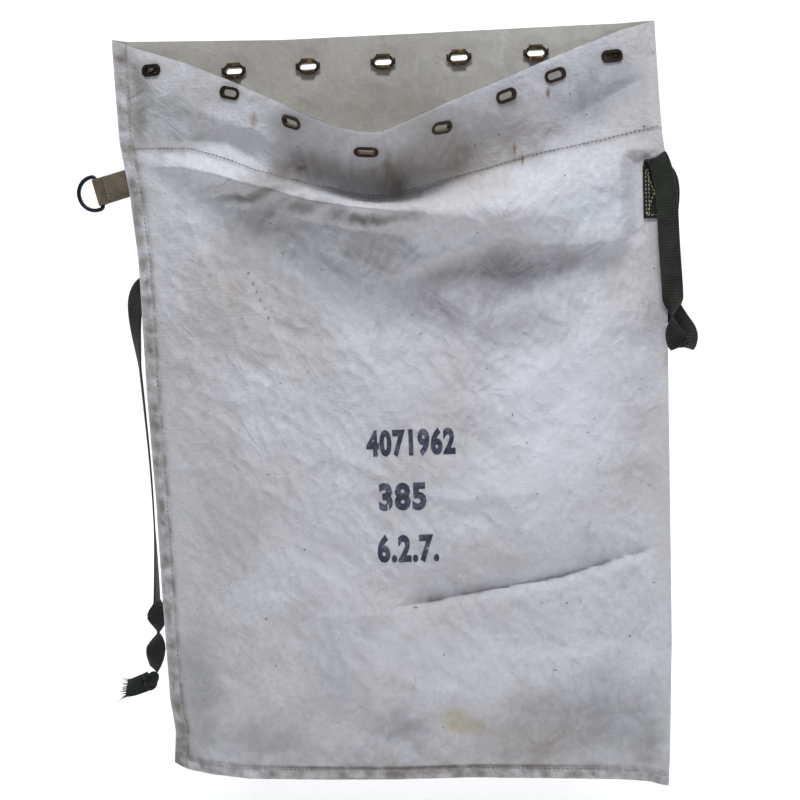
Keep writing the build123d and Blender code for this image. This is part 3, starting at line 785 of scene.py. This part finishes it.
def sew(name, places, normals, pitch, length, thick, material, jitter=0.12):
    """A seam of stitches along a line of places in metres."""
    places = np.asarray(places)
    normals = np.broadcast_to(normals, places.shape)
    gaps = np.linalg.norm(np.diff(places, axis=0), axis=1)
    run = np.concatenate([[0], np.cumsum(gaps)])
    middles = np.arange(pitch / 2, run[-1], pitch)
    points, faces = [], []
    for k, s in enumerate(middles):
        p = np.array([np.interp(s, run, places[:, i]) for i in range(3)])
        q = np.array([np.interp(min(s + 0.0008, run[-1]), run, places[:, i]) for i in range(3)])
        r = np.array([np.interp(max(s - 0.0008, 0), run, places[:, i]) for i in range(3)])
        n = np.array([np.interp(s, run, normals[:, i]) for i in range(3)])
        t = (q - r) / np.linalg.norm(q - r)
        n = n / np.linalg.norm(n)
        side_way = np.cross(n, t)
        swing = jitter * noise.noise((k * 1.7, 0.3, 0.9))
        t = t + side_way * swing
        base = len(points)
        for x, y, z in stitch_points:
            points.append(p + t * x * length + side_way * y * thick + n * z * thick * 0.8)
        faces += [tuple(base + i for i in f) for f in stitch_faces]
    mesh = bpy.data.meshes.new(name)
    mesh.from_pydata([tuple(p) for p in points], [], faces)
    mesh.materials.append(material)
    mesh.polygons.foreach_set("use_smooth", np.ones(len(faces), bool))
    piece = bpy.data.objects.new(name, mesh)
    bpy.context.scene.collection.objects.link(piece)
    print(name, len(middles), "stitches")
    return piece


long_stitch = (0.0042, 0.0034, 0.0011)  # pitch, length and thickness in metres
box_stitch = (0.0036, 0.0027, 0.0009)
root_stitch = (0.0036, 0.0028, 0.0009)
fold_stitch = (0.0032, 0.0024, 0.0008)
forwards, backwards = (0, -1.0, 0), (0, 1.0, 0)


def seam_on_front(name, a, b):
    """A seam along flat places of the front wall."""
    points, normals = front_points(np.asarray(a, float), np.asarray(b, float))
    return sew(name, points, normals, *long_stitch, cloth_thread)


# %% Seams on the cloth
steps = np.linspace(-238, 0, 160)
hem_left = seam_on_front("hem_stitches_left", steps, along(hem_line, steps) + 1.5)
steps = np.linspace(0, 249, 160)
hem_right = seam_on_front("hem_stitches_right", steps, along(hem_line, steps) + 1.5)
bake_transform(hem_left)
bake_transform(hem_right)
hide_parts("front_hem_stitching")
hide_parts("lip_hem_stitching")
heights = np.linspace(28, -664, 300)
edge_seam = seam_on_front("side_seam_stitches", along(left_edge, heights) + 11.0, heights)
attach(edge_seam, "bag_body")
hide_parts("side_seam_stitching")
steps = np.linspace(-224, 244, 240)
low_seam = seam_on_front("bottom_seam_stitches", steps, along(bottom_edge, steps) + 9.5)
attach(low_seam, "bag_body")
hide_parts("bottom_seam_stitching")
steps = np.linspace(-240, 244, 200)
levels = np.full(200, -71.0)
places = back_place(steps, levels) + np.array((0, 0.0015, 0))
back_seam = sew("back_hem_stitches", places, backwards, *long_stitch, cloth_thread)
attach(back_seam, "bag_body")
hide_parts("back_hem_stitching")

# %% [markdown]
# ## Eyelets
# The eyelets are pressed from thin brass that has gone dark bronze with handling, with bare
# yellow edges where hooks rub them. On the inside of the back wall each barrel is split into
# four tabs and folded over: two wide bright ones above and below, two short dark ones at the
# ends.

# %% Metals
def metal(name, dark, bright, worn, rough, metallic=0.85):
    """Aged metal: a dark coat, worn through in patches."""
    material, tree, shader = blank(name)
    where = add(tree, "ShaderNodeTexCoord").outputs["Object"]
    patch = grain(tree, where, 0.006, 6, 0.65, 0.6)
    fine = grain(tree, where, 0.0008, 4, 0.6)
    colour = mix(tree, ramp(tree, patch, worn, worn + 0.14), tone(dark), tone(bright))
    colour = mix(tree, ramp(tree, fine, 0.45, 0.75, 0, 0.4), colour, tone(dark))
    tree.links.new(colour, shader.inputs["Base Color"])
    tree.links.new(ramp(tree, fine, 0.3, 0.7, rough - 0.12, rough + 0.15), shader.inputs["Roughness"])
    bump = add(tree, "ShaderNodeBump", {"Strength": 0.35, "Distance": 0.0004, "Height": fine})
    tree.links.new(bump.outputs[0], shader.inputs["Normal"])
    shader.inputs["Metallic"].default_value = metallic
    return material


bronze = metal("brass_eyelet_tarnished", "#3B312A", "#8C7A5A", 0.6, 0.42)
brass = metal("brass_tab_rubbed", "#4E4231", "#94815A", 0.5, 0.38)
steel = metal("steel_wire_black_oxide", "#0E1A26", "#33465A", 0.62, 0.36, 0.6)


def give(node, material):
    """Give a CAD node's object one material."""
    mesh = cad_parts[node].data
    mesh.materials.clear()
    mesh.materials.append(material)


for node in ("front_lip_eyelets", "front_end_eyelets", "back_eyelets"):
    give(node, bronze)
give("d_ring", steel)


# %% Folded tabs inside the back eyelets
def bent_tab(width, reach, thick):
    """A flat tab over the cloth, a thin box with softened edges, as points and faces."""
    deselect()
    bpy.ops.mesh.primitive_cube_add(size=1)
    tab = bpy.context.object
    tab.scale = (width, thick, reach)
    bpy.ops.object.transform_apply(scale=True)
    tab.modifiers.new("soft", "BEVEL").width = 0.0003
    tab.modifiers["soft"].segments = 2
    bpy.ops.object.modifier_apply(modifier="soft")
    got = np.array([v.co for v in tab.data.vertices]), [tuple(p.vertices) for p in tab.data.polygons]
    bpy.data.objects.remove(tab)
    return got


def merged(name, parts, material, body="bag_body", sharp=40):
    """One mesh from parts of points and faces, smooth but for its sharp edges."""
    points, faces = [], []
    for p, f in parts:
        base = sum(len(q) for q in points)
        points.append(p)
        faces += [tuple(base + i for i in face) for face in f]
    mesh = bpy.data.meshes.new(name)
    mesh.from_pydata(np.concatenate(points).tolist(), [], faces)
    mesh.materials.append(material)
    piece = bpy.data.objects.new(name, mesh)
    bpy.context.scene.collection.objects.link(piece)
    pick(piece)
    bpy.ops.object.shade_smooth_by_angle(angle=math.radians(sharp))
    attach(piece, body)
    print(name, "faces", len(faces))
    return piece


wide, wide_faces = bent_tab(0.0128, 0.0042, 0.0007)
short, short_faces = bent_tab(0.0030, 0.0058, 0.0007)
wide_tabs, short_tabs = [], []
for x in back_eyelet_places:
    for way in (1, -1):
        lean = 0.12 * noise.noise((x * 0.1, way, 0.5))
        place = wide @ np.array([[1, 0, lean], [0, 1, 0], [-lean, 0, 1]])
        wide_tabs.append((place + (x / 1000, -0.0034, way * 0.0052), wide_faces))
        short_tabs.append((short + (x / 1000 + way * 0.0100, -0.0033, 0.0002), short_faces))
tabs_wide = merged("eyelet_tabs_wide", wide_tabs, brass)
tabs_short = merged("eyelet_tabs_short", short_tabs, bronze)

# %% [markdown]
# ## Webbing
# The strap is olive cotton webbing with ribs across it about 1.6 mm apart, drawn at 2.6 mm so
# that they show. The tab is wider tan webbing. Both are matt, rubbed paler on their edges.

# %% Webbing materials
def webbing(name, dark, light, rib, half_width):
    """Ribbed cotton webbing, its pattern laid along the ribbon in metres."""
    material, tree, shader = blank(name)
    flat = add(tree, "ShaderNodeUVMap", uv_map="flat").outputs[0]
    across = add(tree, "ShaderNodeSeparateXYZ", {0: flat}).outputs[0]
    ribs = waves(tree, flat, 1 / rib / 6.2832 * 2, 0.8, 2.0, "Y")
    yarns = waves(tree, flat, 130.0, 1.0, 1.0, "X")
    patch = grain(tree, flat, 0.03, 5, 0.6, 0.5)
    fuzz = grain(tree, flat, 0.0012, 4, 0.7)
    colour = mix(tree, ramp(tree, patch, 0.35, 0.7), tone(dark), tone(light))
    colour = mix(tree, ramp(tree, ribs, 0.2, 0.8, 0, 0.45), colour, tone(light))
    colour = mix(tree, ramp(tree, fuzz, 0.5, 0.75, 0, 0.5), colour, tone(dark))
    edge = ramp(tree, sums(tree, "ABSOLUTE", across, 0.0), half_width * 0.82, half_width * 0.98, 0.0, 0.4)
    colour = mix(tree, edge, colour, tone(light))
    tree.links.new(colour, shader.inputs["Base Color"])
    height = heap(tree, (ribs, 0.0005), (yarns, 0.00018), (fuzz, 0.0004))
    bump = add(tree, "ShaderNodeBump", {"Strength": 0.8, "Distance": 1.0, "Height": height})
    tree.links.new(bump.outputs[0], shader.inputs["Normal"])
    shader.inputs["Roughness"].default_value = 0.9
    shader.inputs["Specular IOR Level"].default_value = 0.25
    shader.inputs["Sheen Weight"].default_value = 0.1
    return material


olive = webbing("cotton_webbing_olive", "#151813", "#2F332B", 0.0026, 0.0095)
black = webbing("cotton_webbing_black", "#0E120F", "#222820", 0.0026, 0.0095)
tan = webbing("cotton_webbing_tan", "#463B2E", "#75695A", 0.0022, 0.0127)


def ribbon(name, centres, sides, normals, width, thick, material):
    """A flat band with rounded edges along centres, with its pattern in metres."""
    section = [(-0.5, -0.32), (-0.47, -0.5), (0.47, -0.5), (0.5, -0.32), (0.5, 0.32), (0.47, 0.5),
               (0.16, 0.5), (-0.16, 0.5), (-0.47, 0.5), (-0.5, 0.32)]
    gaps = np.linalg.norm(np.diff(centres, axis=0), axis=1)
    run = np.concatenate([[0], np.cumsum(gaps)])
    size = len(section)
    points, uvs = [], []
    for c, e, n, s in zip(centres, sides, normals, run):
        for x, y in section:
            points.append(c + e * x * width + n * y * thick)
            uvs.append((x * width, s))
    faces = []
    for k in range(len(centres) - 1):
        for i in range(size):
            j = (i + 1) % size
            faces.append((k * size + i, k * size + j, (k + 1) * size + j, (k + 1) * size + i))
    faces.append(tuple(reversed(range(size))))
    faces.append(tuple((len(centres) - 1) * size + i for i in range(size)))
    mesh = bpy.data.meshes.new(name)
    mesh.from_pydata([tuple(p) for p in points], [], faces)
    layer = mesh.uv_layers.new(name="flat")
    for loop in mesh.loops:
        layer.data[loop.index].uv = uvs[loop.vertex_index]
    mesh.materials.append(material)
    piece = bpy.data.objects.new(name, mesh)
    bpy.context.scene.collection.objects.link(piece)
    pick(piece)
    bpy.ops.object.mode_set(mode="EDIT")
    bpy.ops.mesh.select_all(action="SELECT")
    bpy.ops.mesh.normals_make_consistent(inside=False)
    bpy.ops.object.mode_set(mode="OBJECT")
    bpy.ops.object.shade_smooth_by_angle(angle=math.radians(50))
    print(name, "length", round(float(run[-1]), 3))
    return piece


# %% [markdown]
# ## The strap
# The strap is 19 mm webbing, sewn down at the right, folded over the top of its sewn end and
# let fall in front. It turns up again beside the edge, goes behind the bag, hangs over to
# the left edge and down to its knot. Its line is one smooth spline with the route's corners as
# control points. The band lies flat along most of it and turns edge-on where it hangs free.

# %% Route of the strap
lean = math.radians(8.0)
route = [  # across, depth and up in mm
    (243, -2.5, -107.5), (243.5, -2.8, -101.5), (245, -7, -99.5), (247, -10, -104), (250, -9.8, -114),
    (252.5, -9.3, -130), (254, -9, -152), (254.5, -8.8, -176), (256, -8.8, -203), (257, -9, -226),
    (256, -11, -246), (257, -12, -262), (262, -9, -271), (269, -3, -270), (272, 2, -260), (264, 6, -248),
    (255, 7.1, -232), (252, 7.1, -202), (255.5, 7.1, -156), (259, 7.1, -126), (254, 7.1, -111),
    (242, 7.1, -108.5), (222, 7.1, -122), (186, 7.1, -156), (140, 7.1, -184), (90, 7.1, -203),
    (34, 7.1, -214), (-24, 7.1, -216), (-82, 7.1, -213), (-136, 7.1, -206), (-182, 7.1, -198),
    (-214, 7.1, -191), (-238, 7.1, -192), (-249.5, 7.1, -205), (-251.5, 7.1, -230), (-249, 7.1, -268),
    (-246.4, 7.1, -318), (-243.6, 7.1, -376), (-243.2, 7.1, -436), (-244.4, 7.1, -490),
    (-246.4, 7.1, -528), (-249, 7.1, -556), (-252, 7.1, -572),
]
curve = bpy.data.curves.new("strap_line", "CURVE")
curve.dimensions = "3D"
curve.resolution_u = 6
spline = curve.splines.new("NURBS")
spline.points.add(len(route) - 1)
for point, (x, y, z) in zip(spline.points, route):
    point.co = (x / 1000, y / 1000, z / 1000, 1)
spline.order_u = 3
spline.use_endpoint_u = True
holder = bpy.data.objects.new("strap_line", curve)
bpy.context.scene.collection.objects.link(holder)
bpy.context.view_layer.update()
line_mesh = bpy.data.meshes.new_from_object(holder)
strap_path = [v.co.copy() for v in line_mesh.vertices]
bpy.data.objects.remove(holder)
path = np.array(strap_path)
steps = np.linalg.norm(np.diff(path, axis=0), axis=1)
run = np.concatenate([[0], np.cumsum(steps)])
print("strap length", round(float(run[-1]), 3), "points", len(path))

# %% The strap's band
tangents = np.gradient(path, run, axis=0)
tangents /= np.linalg.norm(tangents, axis=1, keepdims=True)
fall_side = np.array((math.cos(lean), 0, math.sin(lean)))
fall_end = float(run[np.argmin(path[:, 2] + 10 * (run > 0.3))])
flat_side = np.cross((0, 1, 0), tangents)
flat_side /= np.maximum(np.linalg.norm(flat_side, axis=1, keepdims=True), 1e-6)
part = smooth(fall_end - 0.004, fall_end + 0.02, run)[:, None]
sides = fall_side * (1 - part) + flat_side * part
sides -= tangents * (sides * tangents).sum(1, keepdims=True)
sides /= np.linalg.norm(sides, axis=1, keepdims=True)
faces_out = np.cross(tangents, sides)
total = float(run[-1])
twist = np.radians(np.interp(
    run,
    [0, 0.012, 0.09, fall_end - 0.052, fall_end - 0.036, fall_end - 0.018, fall_end, fall_end + 0.03,
     total - 0.40, total - 0.36, total - 0.30, total - 0.14, total - 0.068, total - 0.05, total - 0.034,
     total - 0.018, total],
    [0, 24, 6, 0, 80, 150, 190, 180, 180, 205, 248, 252, 270, 360, 450, 530, 590],
))[:, None]
band_sides = sides * np.cos(twist) + faces_out * np.sin(twist)
band_faces = np.cross(band_sides, tangents) * -1
strap = ribbon("strap_webbing", path, band_sides, band_faces, 0.019, 0.0016, olive)
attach(strap, "bag_body")
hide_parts("strap_front_fall", "strap_back_run")

# %% [markdown]
# ## Knot and frayed end
# The knot is an overhand knot pulled tight, three lobes of band wound round each other. It is
# drawn as a closed curve of three lobes with a round, thick section. Beyond it the end of the
# strap has come apart into yarns.

# %% Knot
knot_centre = Vector((-0.256, 0.0071, -0.5835))
knot_curve = bpy.data.curves.new("strap_knot_line", "CURVE")
knot_curve.dimensions = "3D"
knot_spline = knot_curve.splines.new("NURBS")
lobes = 18
knot_spline.points.add(lobes - 1)
for k, point in enumerate(knot_spline.points):
    t = 2 * math.pi * k / lobes
    x = (math.sin(t) + 2 * math.sin(2 * t)) * 0.00215
    z = (math.cos(t) - 2 * math.cos(2 * t)) * 0.0025
    y = -math.sin(3 * t) * 0.0030
    point.co = (*(knot_centre + Vector((x, y, z))), 1)
knot_spline.use_cyclic_u = True
knot_spline.order_u = 4
knot_curve.bevel_depth = 0.0034
knot_curve.bevel_resolution = 4
knot_curve.resolution_u = 6
holder = bpy.data.objects.new("strap_knot_line", knot_curve)
bpy.context.scene.collection.objects.link(holder)
bpy.context.view_layer.update()
knot_mesh = bpy.data.meshes.new_from_object(holder)
bpy.data.objects.remove(holder)
knot_mesh.name = "strap_knot_tight"
layer = knot_mesh.uv_layers.new(name="flat") if not knot_mesh.uv_layers else knot_mesh.uv_layers[0]
layer.name = "flat"
for loop in knot_mesh.loops:
    p = knot_mesh.vertices[loop.vertex_index].co
    layer.data[loop.index].uv = (p.x - knot_centre.x + p.y, p.z - knot_centre.z + 0.6 * p.x)
knot_mesh.materials.clear()
knot_mesh.materials.append(black)
knot = bpy.data.objects.new("strap_knot_tight", knot_mesh)
bpy.context.scene.collection.objects.link(knot)
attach(knot, "bag_body")
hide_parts("strap_knot")

# %% Tail and frayed yarns
tail_line = np.array([(-0.262, 0.0071, -0.5835), (-0.268, 0.0066, -0.586), (-0.275, 0.0062, -0.5885),
                      (-0.281, 0.0066, -0.5905), (-0.2865, 0.0075, -0.5915)])
tail_line = tail_line + np.array((0.006, 0, 0))
tail_run = np.linspace(0, 1, 12)
tail = np.stack([np.interp(tail_run, np.linspace(0, 1, 5), tail_line[:, i]) for i in range(3)], -1)
tail_way = np.gradient(tail, axis=0)
tail_way /= np.linalg.norm(tail_way, axis=1, keepdims=True)
turn = np.radians(np.linspace(15, 40, 12))[:, None]
tail_flat = np.cross(tail_way, (0, 1, 0))
tail_flat /= np.linalg.norm(tail_flat, axis=1, keepdims=True)
tail_side = tail_flat * np.cos(turn) + np.cross(tail_way, tail_flat) * np.sin(turn)
strap_tail = ribbon("strap_tail", tail, tail_side, np.cross(tail_side, tail_way), 0.018, 0.0017, black)
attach(strap_tail, "bag_body")
yarn_parts = []
for k in range(26):
    across = (k / 25 - 0.5) * 0.0172
    start = tail[-2] + tail_side[-1] * across
    bend = 0.35 * noise.noise((k * 2.3, 0.1, 0.7))
    reach_out = 0.0055 + 0.0045 * abs(noise.noise((k * 1.3, 4.2, 0.2))) * 2
    depthwise = np.array((0, 1, 0)) * 0.5 * noise.noise((k * 3.1, 9.0, 1.0))
    way = tail_way[-1] + tail_side[-1] * (bend + across * 30) + depthwise
    way = way / np.linalg.norm(way)
    ring_points, ring_faces = [], []
    e1 = np.cross(way, (0, 1, 0))
    e1 /= np.linalg.norm(e1)
    e2 = np.cross(way, e1)
    for m in range(5):
        centre = start + way * reach_out * m / 4 + e1 * bend * 0.004 * (m / 4) ** 2
        radius = 0.00042 * (1 - 0.12 * m)
        for q in range(5):
            ang = 2 * math.pi * q / 5
            ring_points.append(centre + (e1 * math.cos(ang) + e2 * math.sin(ang)) * radius)
    for m in range(4):
        for q in range(5):
            w = (q + 1) % 5
            ring_faces.append((m * 5 + q, m * 5 + w, m * 5 + 5 + w, m * 5 + 5 + q))
    ring_faces += [(4, 3, 2, 1, 0), (20, 21, 22, 23, 24)]
    yarn_parts.append((np.array(ring_points), ring_faces))
yarn_colour = thread_material("cotton_yarn_frayed", "#23271F", "#14181A")
frayed = merged("strap_frayed_yarns", yarn_parts, yarn_colour)

# %% [markdown]
# ## The strap's sewn end
# The end of the strap is sewn flat onto the bag with a box of pale stitches crossed by its
# diagonals. It is a newer, blacker piece of webbing than the part that hangs.

# %% Sewn end
low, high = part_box("strap_sewn_end")
middle = (low + high) / 2
rows = np.linspace(high.z, low.z, 24)
centres = np.stack([np.full(24, middle.x), np.full(24, middle.y), rows], -1)
sewn = ribbon("strap_sewn_patch", centres, np.tile((1.0, 0, 0), (24, 1)), np.tile((0, -1.0, 0), (24, 1)),
              high.x - low.x + 0.0006, 0.0017, black)
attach(sewn, "bag_body")
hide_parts("strap_sewn_end")
half_w, half_h = (high.x - low.x) / 2 - 0.0022, (high.z - low.z) / 2 - 0.003
inner_w = half_w - 0.0026
corners = {
    "left": [(-half_w, -half_h), (-half_w, half_h)], "left_inner": [(-inner_w, -half_h), (-inner_w, half_h)],
    "right": [(half_w, -half_h), (half_w, half_h)], "low": [(-half_w, -half_h), (half_w, -half_h)],
    "top": [(-half_w, half_h), (half_w, half_h)], "rising": [(-half_w, -half_h), (half_w, half_h)],
    "falling": [(-half_w, half_h), (half_w, -half_h)],
}
for name, ((x0, z0), (x1, z1)) in corners.items():
    t = np.linspace(0, 1, 20)
    across, up = middle.x + x0 + (x1 - x0) * t, middle.z + z0 + (z1 - z0) * t
    places = np.stack([across, np.full(20, low.y - 0.0001), up], -1)
    row = sew("strap_stitches_" + name, places, forwards, *box_stitch, strap_thread, 0.25)
    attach(row, "bag_body")
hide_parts("strap_stitching")

# %% [markdown]
# ## Ring tab
# A loop of 25 mm tan webbing holds a steel D-ring at the left edge. Its root is sewn behind
# the bag. The free end is folded round the ring's bar, and the fold shows as a paler strip.

# %% Ring tab
tilt = math.radians(14.0)
bend = np.array((-0.2546, 0.0031, -0.099))
out_way = np.array((-math.cos(tilt), 0, -math.sin(tilt)))
wide_way = np.array((-math.sin(tilt), 0, math.cos(tilt)))
eye_radius = 0.0030
profile = [(-0.031 + 0.003 * k, -0.0009) for k in range(18)]
for k in range(13):
    ang = -math.pi / 2 + math.pi * k / 12
    profile.append((0.0238 + math.cos(ang) * eye_radius, math.sin(ang) * eye_radius))
profile += [(0.0195 - 0.003 * k, 0.0021 - 0.00015 * k) for k in range(3)]
profile += [(0.0100 - 0.003 * k, 0.0009) for k in range(14)]
tab_points = np.array([bend + out_way * u + np.array((0, -1, 0)) * v for u, v in profile])
tab_ways = np.gradient(tab_points, axis=0)
tab_ways /= np.linalg.norm(tab_ways, axis=1, keepdims=True)
tab_sides = np.tile(wide_way, (len(profile), 1))
tab_faces = np.cross(tab_sides, tab_ways)
tab = ribbon("ring_tab_webbing", tab_points, tab_sides, tab_faces, 0.0254, 0.0015, tan)
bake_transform(tab)
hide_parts("ring_tab", "ring_tab_root")
fold_row = bend + out_way * 0.0155 + np.array((0, -0.0028, 0))
places = np.array([fold_row + wide_way * w for w in np.linspace(-0.0110, 0.0110, 16)])
row = sew("tab_fold_stitches", places, forwards, *fold_stitch, cloth_thread)
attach(row, "tab_loop")
outline = [(-0.004, -0.0096), (-0.028, -0.0096), (-0.028, 0.0096), (-0.004, 0.0096), (-0.004, -0.0096)]
root_back = bend + np.array((0, 0.0018, 0))
root_places = []
for (u0, w0), (u1, w1) in zip(outline, outline[1:]):
    for t in np.linspace(0, 1, 12)[:-1]:
        root_places.append(root_back + out_way * (u0 + (u1 - u0) * t) + wide_way * (w0 + (w1 - w0) * t))
root_row = sew("tab_root_stitches", root_places, backwards, *root_stitch, cloth_thread)
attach(root_row, "bag_body")
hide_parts("ring_tab_stitching")

# %% [markdown]
# ## Stencilled numbers
# Three short rows are stencilled in navy ink on the middle of the front. Stencils for sacks
# have narrow heavy characters with small bridges. Plain numbers are used. They are cut from
# text, divided finely and laid on the cloth, and the ink is worn through on the yarns.

# %% Ink
def ink_material():
    """Stencil ink soaked into canvas: navy to black, worn through on the high yarns."""
    material, tree, shader = blank("stencil_ink_worn")
    flat = add(tree, "ShaderNodeTexCoord").outputs["Object"]
    patch = grain(tree, flat, 0.012, 5, 0.65)
    fine = grain(tree, flat, 0.0016, 5, 0.75)
    colour = mix(tree, ramp(tree, patch, 0.4, 0.62), tone("#3A3D4C"), tone("#575A69"))
    wear = sums(tree, "ADD", sums(tree, "MULTIPLY", fine, 0.7), sums(tree, "MULTIPLY", patch, 0.4))
    colour = mix(tree, ramp(tree, wear, 0.58, 0.72, 0.0, 0.85), colour, tone("#9B9BA2"))
    tree.links.new(colour, shader.inputs["Base Color"])
    bump = add(tree, "ShaderNodeBump", {"Strength": 0.4, "Distance": 0.0005, "Height": fine})
    tree.links.new(bump.outputs[0], shader.inputs["Normal"])
    shader.inputs["Roughness"].default_value = 0.9
    shader.inputs["Specular IOR Level"].default_value = 0.2
    return material


ink = ink_material()
rows_of_numbers = [  # text, left, right, foot, height, in mm of the flat cloth
    ("4071962", -30.5, 54, -367, 27), ("385", -20.5, 25, -418.5, 27), ("6.2.7.", -24, 35, -469, 28),
]
for number, (text, left, right, foot, tall) in enumerate(rows_of_numbers):
    deselect()
    bpy.ops.object.text_add()
    letters = bpy.context.object
    letters.data.body = text
    letters.data.size = 1.0
    letters.data.offset = 0.05
    letters.data.space_character = 1.12
    letters.data.resolution_u = 3
    bpy.ops.object.convert(target="MESH")
    letters = bpy.context.object
    mesh = letters.data
    co = np.array([v.co for v in mesh.vertices])
    low, high = co.min(0), co.max(0)
    for vertex, p in zip(mesh.vertices, co):
        vertex.co = (
            (left + (p[0] - low[0]) / (high[0] - low[0]) * (right - left)) / 1000,
            (foot + (p[1] - low[1]) / (high[1] - low[1]) * tall) / 1000, 0,
        )
    bpy.ops.object.mode_set(mode="EDIT")
    for x in np.arange(left + 2.5, right, 2.5):
        bpy.ops.mesh.select_all(action="SELECT")
        bpy.ops.mesh.bisect(plane_co=(x / 1000, 0, 0), plane_no=(1, 0, 0))
    for z in np.arange(foot + 2.5, foot + tall, 2.5):
        bpy.ops.mesh.select_all(action="SELECT")
        bpy.ops.mesh.bisect(plane_co=(0, z / 1000, 0), plane_no=(0, 1, 0))
    bpy.ops.object.mode_set(mode="OBJECT")
    co = np.array([v.co for v in mesh.vertices]) * 1000
    row_rise = 0.007
    points, normals = front_points(co[:, 0], co[:, 1] + (co[:, 0] - 10) * row_rise)
    laid = points + normals * 0.00022
    mesh.vertices.foreach_set("co", laid.ravel().astype(np.float32))
    mesh.update()
    toward = np.array([p.normal for p in mesh.polygons])[:, 1].mean()
    if toward > 0:
        mesh.flip_normals()
    mesh.materials.clear()
    mesh.materials.append(ink)
    letters.name = "stencil_row_" + str(number + 1)
    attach(letters, "bag_body")
    print(letters.name, "faces", len(mesh.polygons))

# %% [markdown]
# ## Room and light
# A pale floor lies below the hanging bag and curves up into a backdrop. One large soft lamp
# stands high in front, a weaker one fills from the right, and the pale world does the rest.

# %% Stage
deselect()
bpy.ops.mesh.primitive_plane_add(size=1, location=(0, 0, -0.86))
floor = bpy.context.object
floor.scale = (14, 6, 1)
bpy.ops.object.transform_apply(location=True, rotation=True, scale=True)
bpy.ops.object.mode_set(mode="EDIT")
bpy.ops.mesh.select_mode(type="EDGE")
bpy.ops.mesh.select_all(action="DESELECT")
bpy.ops.object.mode_set(mode="OBJECT")
for edge in floor.data.edges:
    edge.select = all(floor.data.vertices[i].co.y > 2.9 for i in edge.vertices)
bpy.ops.object.mode_set(mode="EDIT")
bpy.ops.mesh.extrude_region_move(TRANSFORM_OT_translate={"value": (0, 0, 7)})
bpy.ops.mesh.select_all(action="SELECT")
bpy.ops.mesh.bevel(offset=1.2, segments=14)
bpy.ops.object.mode_set(mode="OBJECT")
floor.name = "floor_and_backdrop"
bpy.ops.object.shade_smooth()
paper, tree, shader = blank("paper_backdrop_matt")
shader.inputs["Base Color"].default_value = tone("#FBFBFB")
shader.inputs["Roughness"].default_value = 0.95
floor.data.materials.append(paper)

# %% Light
def lamp(name, place, target, size, power, code):
    """A square soft lamp that faces a target."""
    data = bpy.data.lights.new(name, "AREA")
    data.shape = "RECTANGLE"
    data.size, data.size_y = size
    data.energy = power
    data.color = tone(code)[:3]
    obj = bpy.data.objects.new(name, data)
    bpy.context.scene.collection.objects.link(obj)
    obj.location = place
    obj.rotation_euler = (Vector(target) - Vector(place)).to_track_quat("-Z", "Y").to_euler()


lamp("high_soft_lamp", (0.12, -0.95, 1.4), (0.02, 0, -0.42), (0.8, 0.4), 29, "#FBFCFF")
lamp("right_fill_lamp", (1.9, -1.6, 0.1), (0, 0, -0.3), (1.2, 1.2), 3, "#E8EEFF")
lamp("backdrop_lamp", (0, 1.0, 2.6), (0, 3.0, -0.2), (5.0, 1.5), 115, "#FFFFFF")
world = bpy.data.worlds.new("pale_world")
bpy.context.scene.world = world
world.use_nodes = True
world.node_tree.nodes["Background"].inputs[0].default_value = tone("#EEF1F6")
world.node_tree.nodes["Background"].inputs[1].default_value = 0.3
bpy.context.scene.view_settings.view_transform = "Standard"
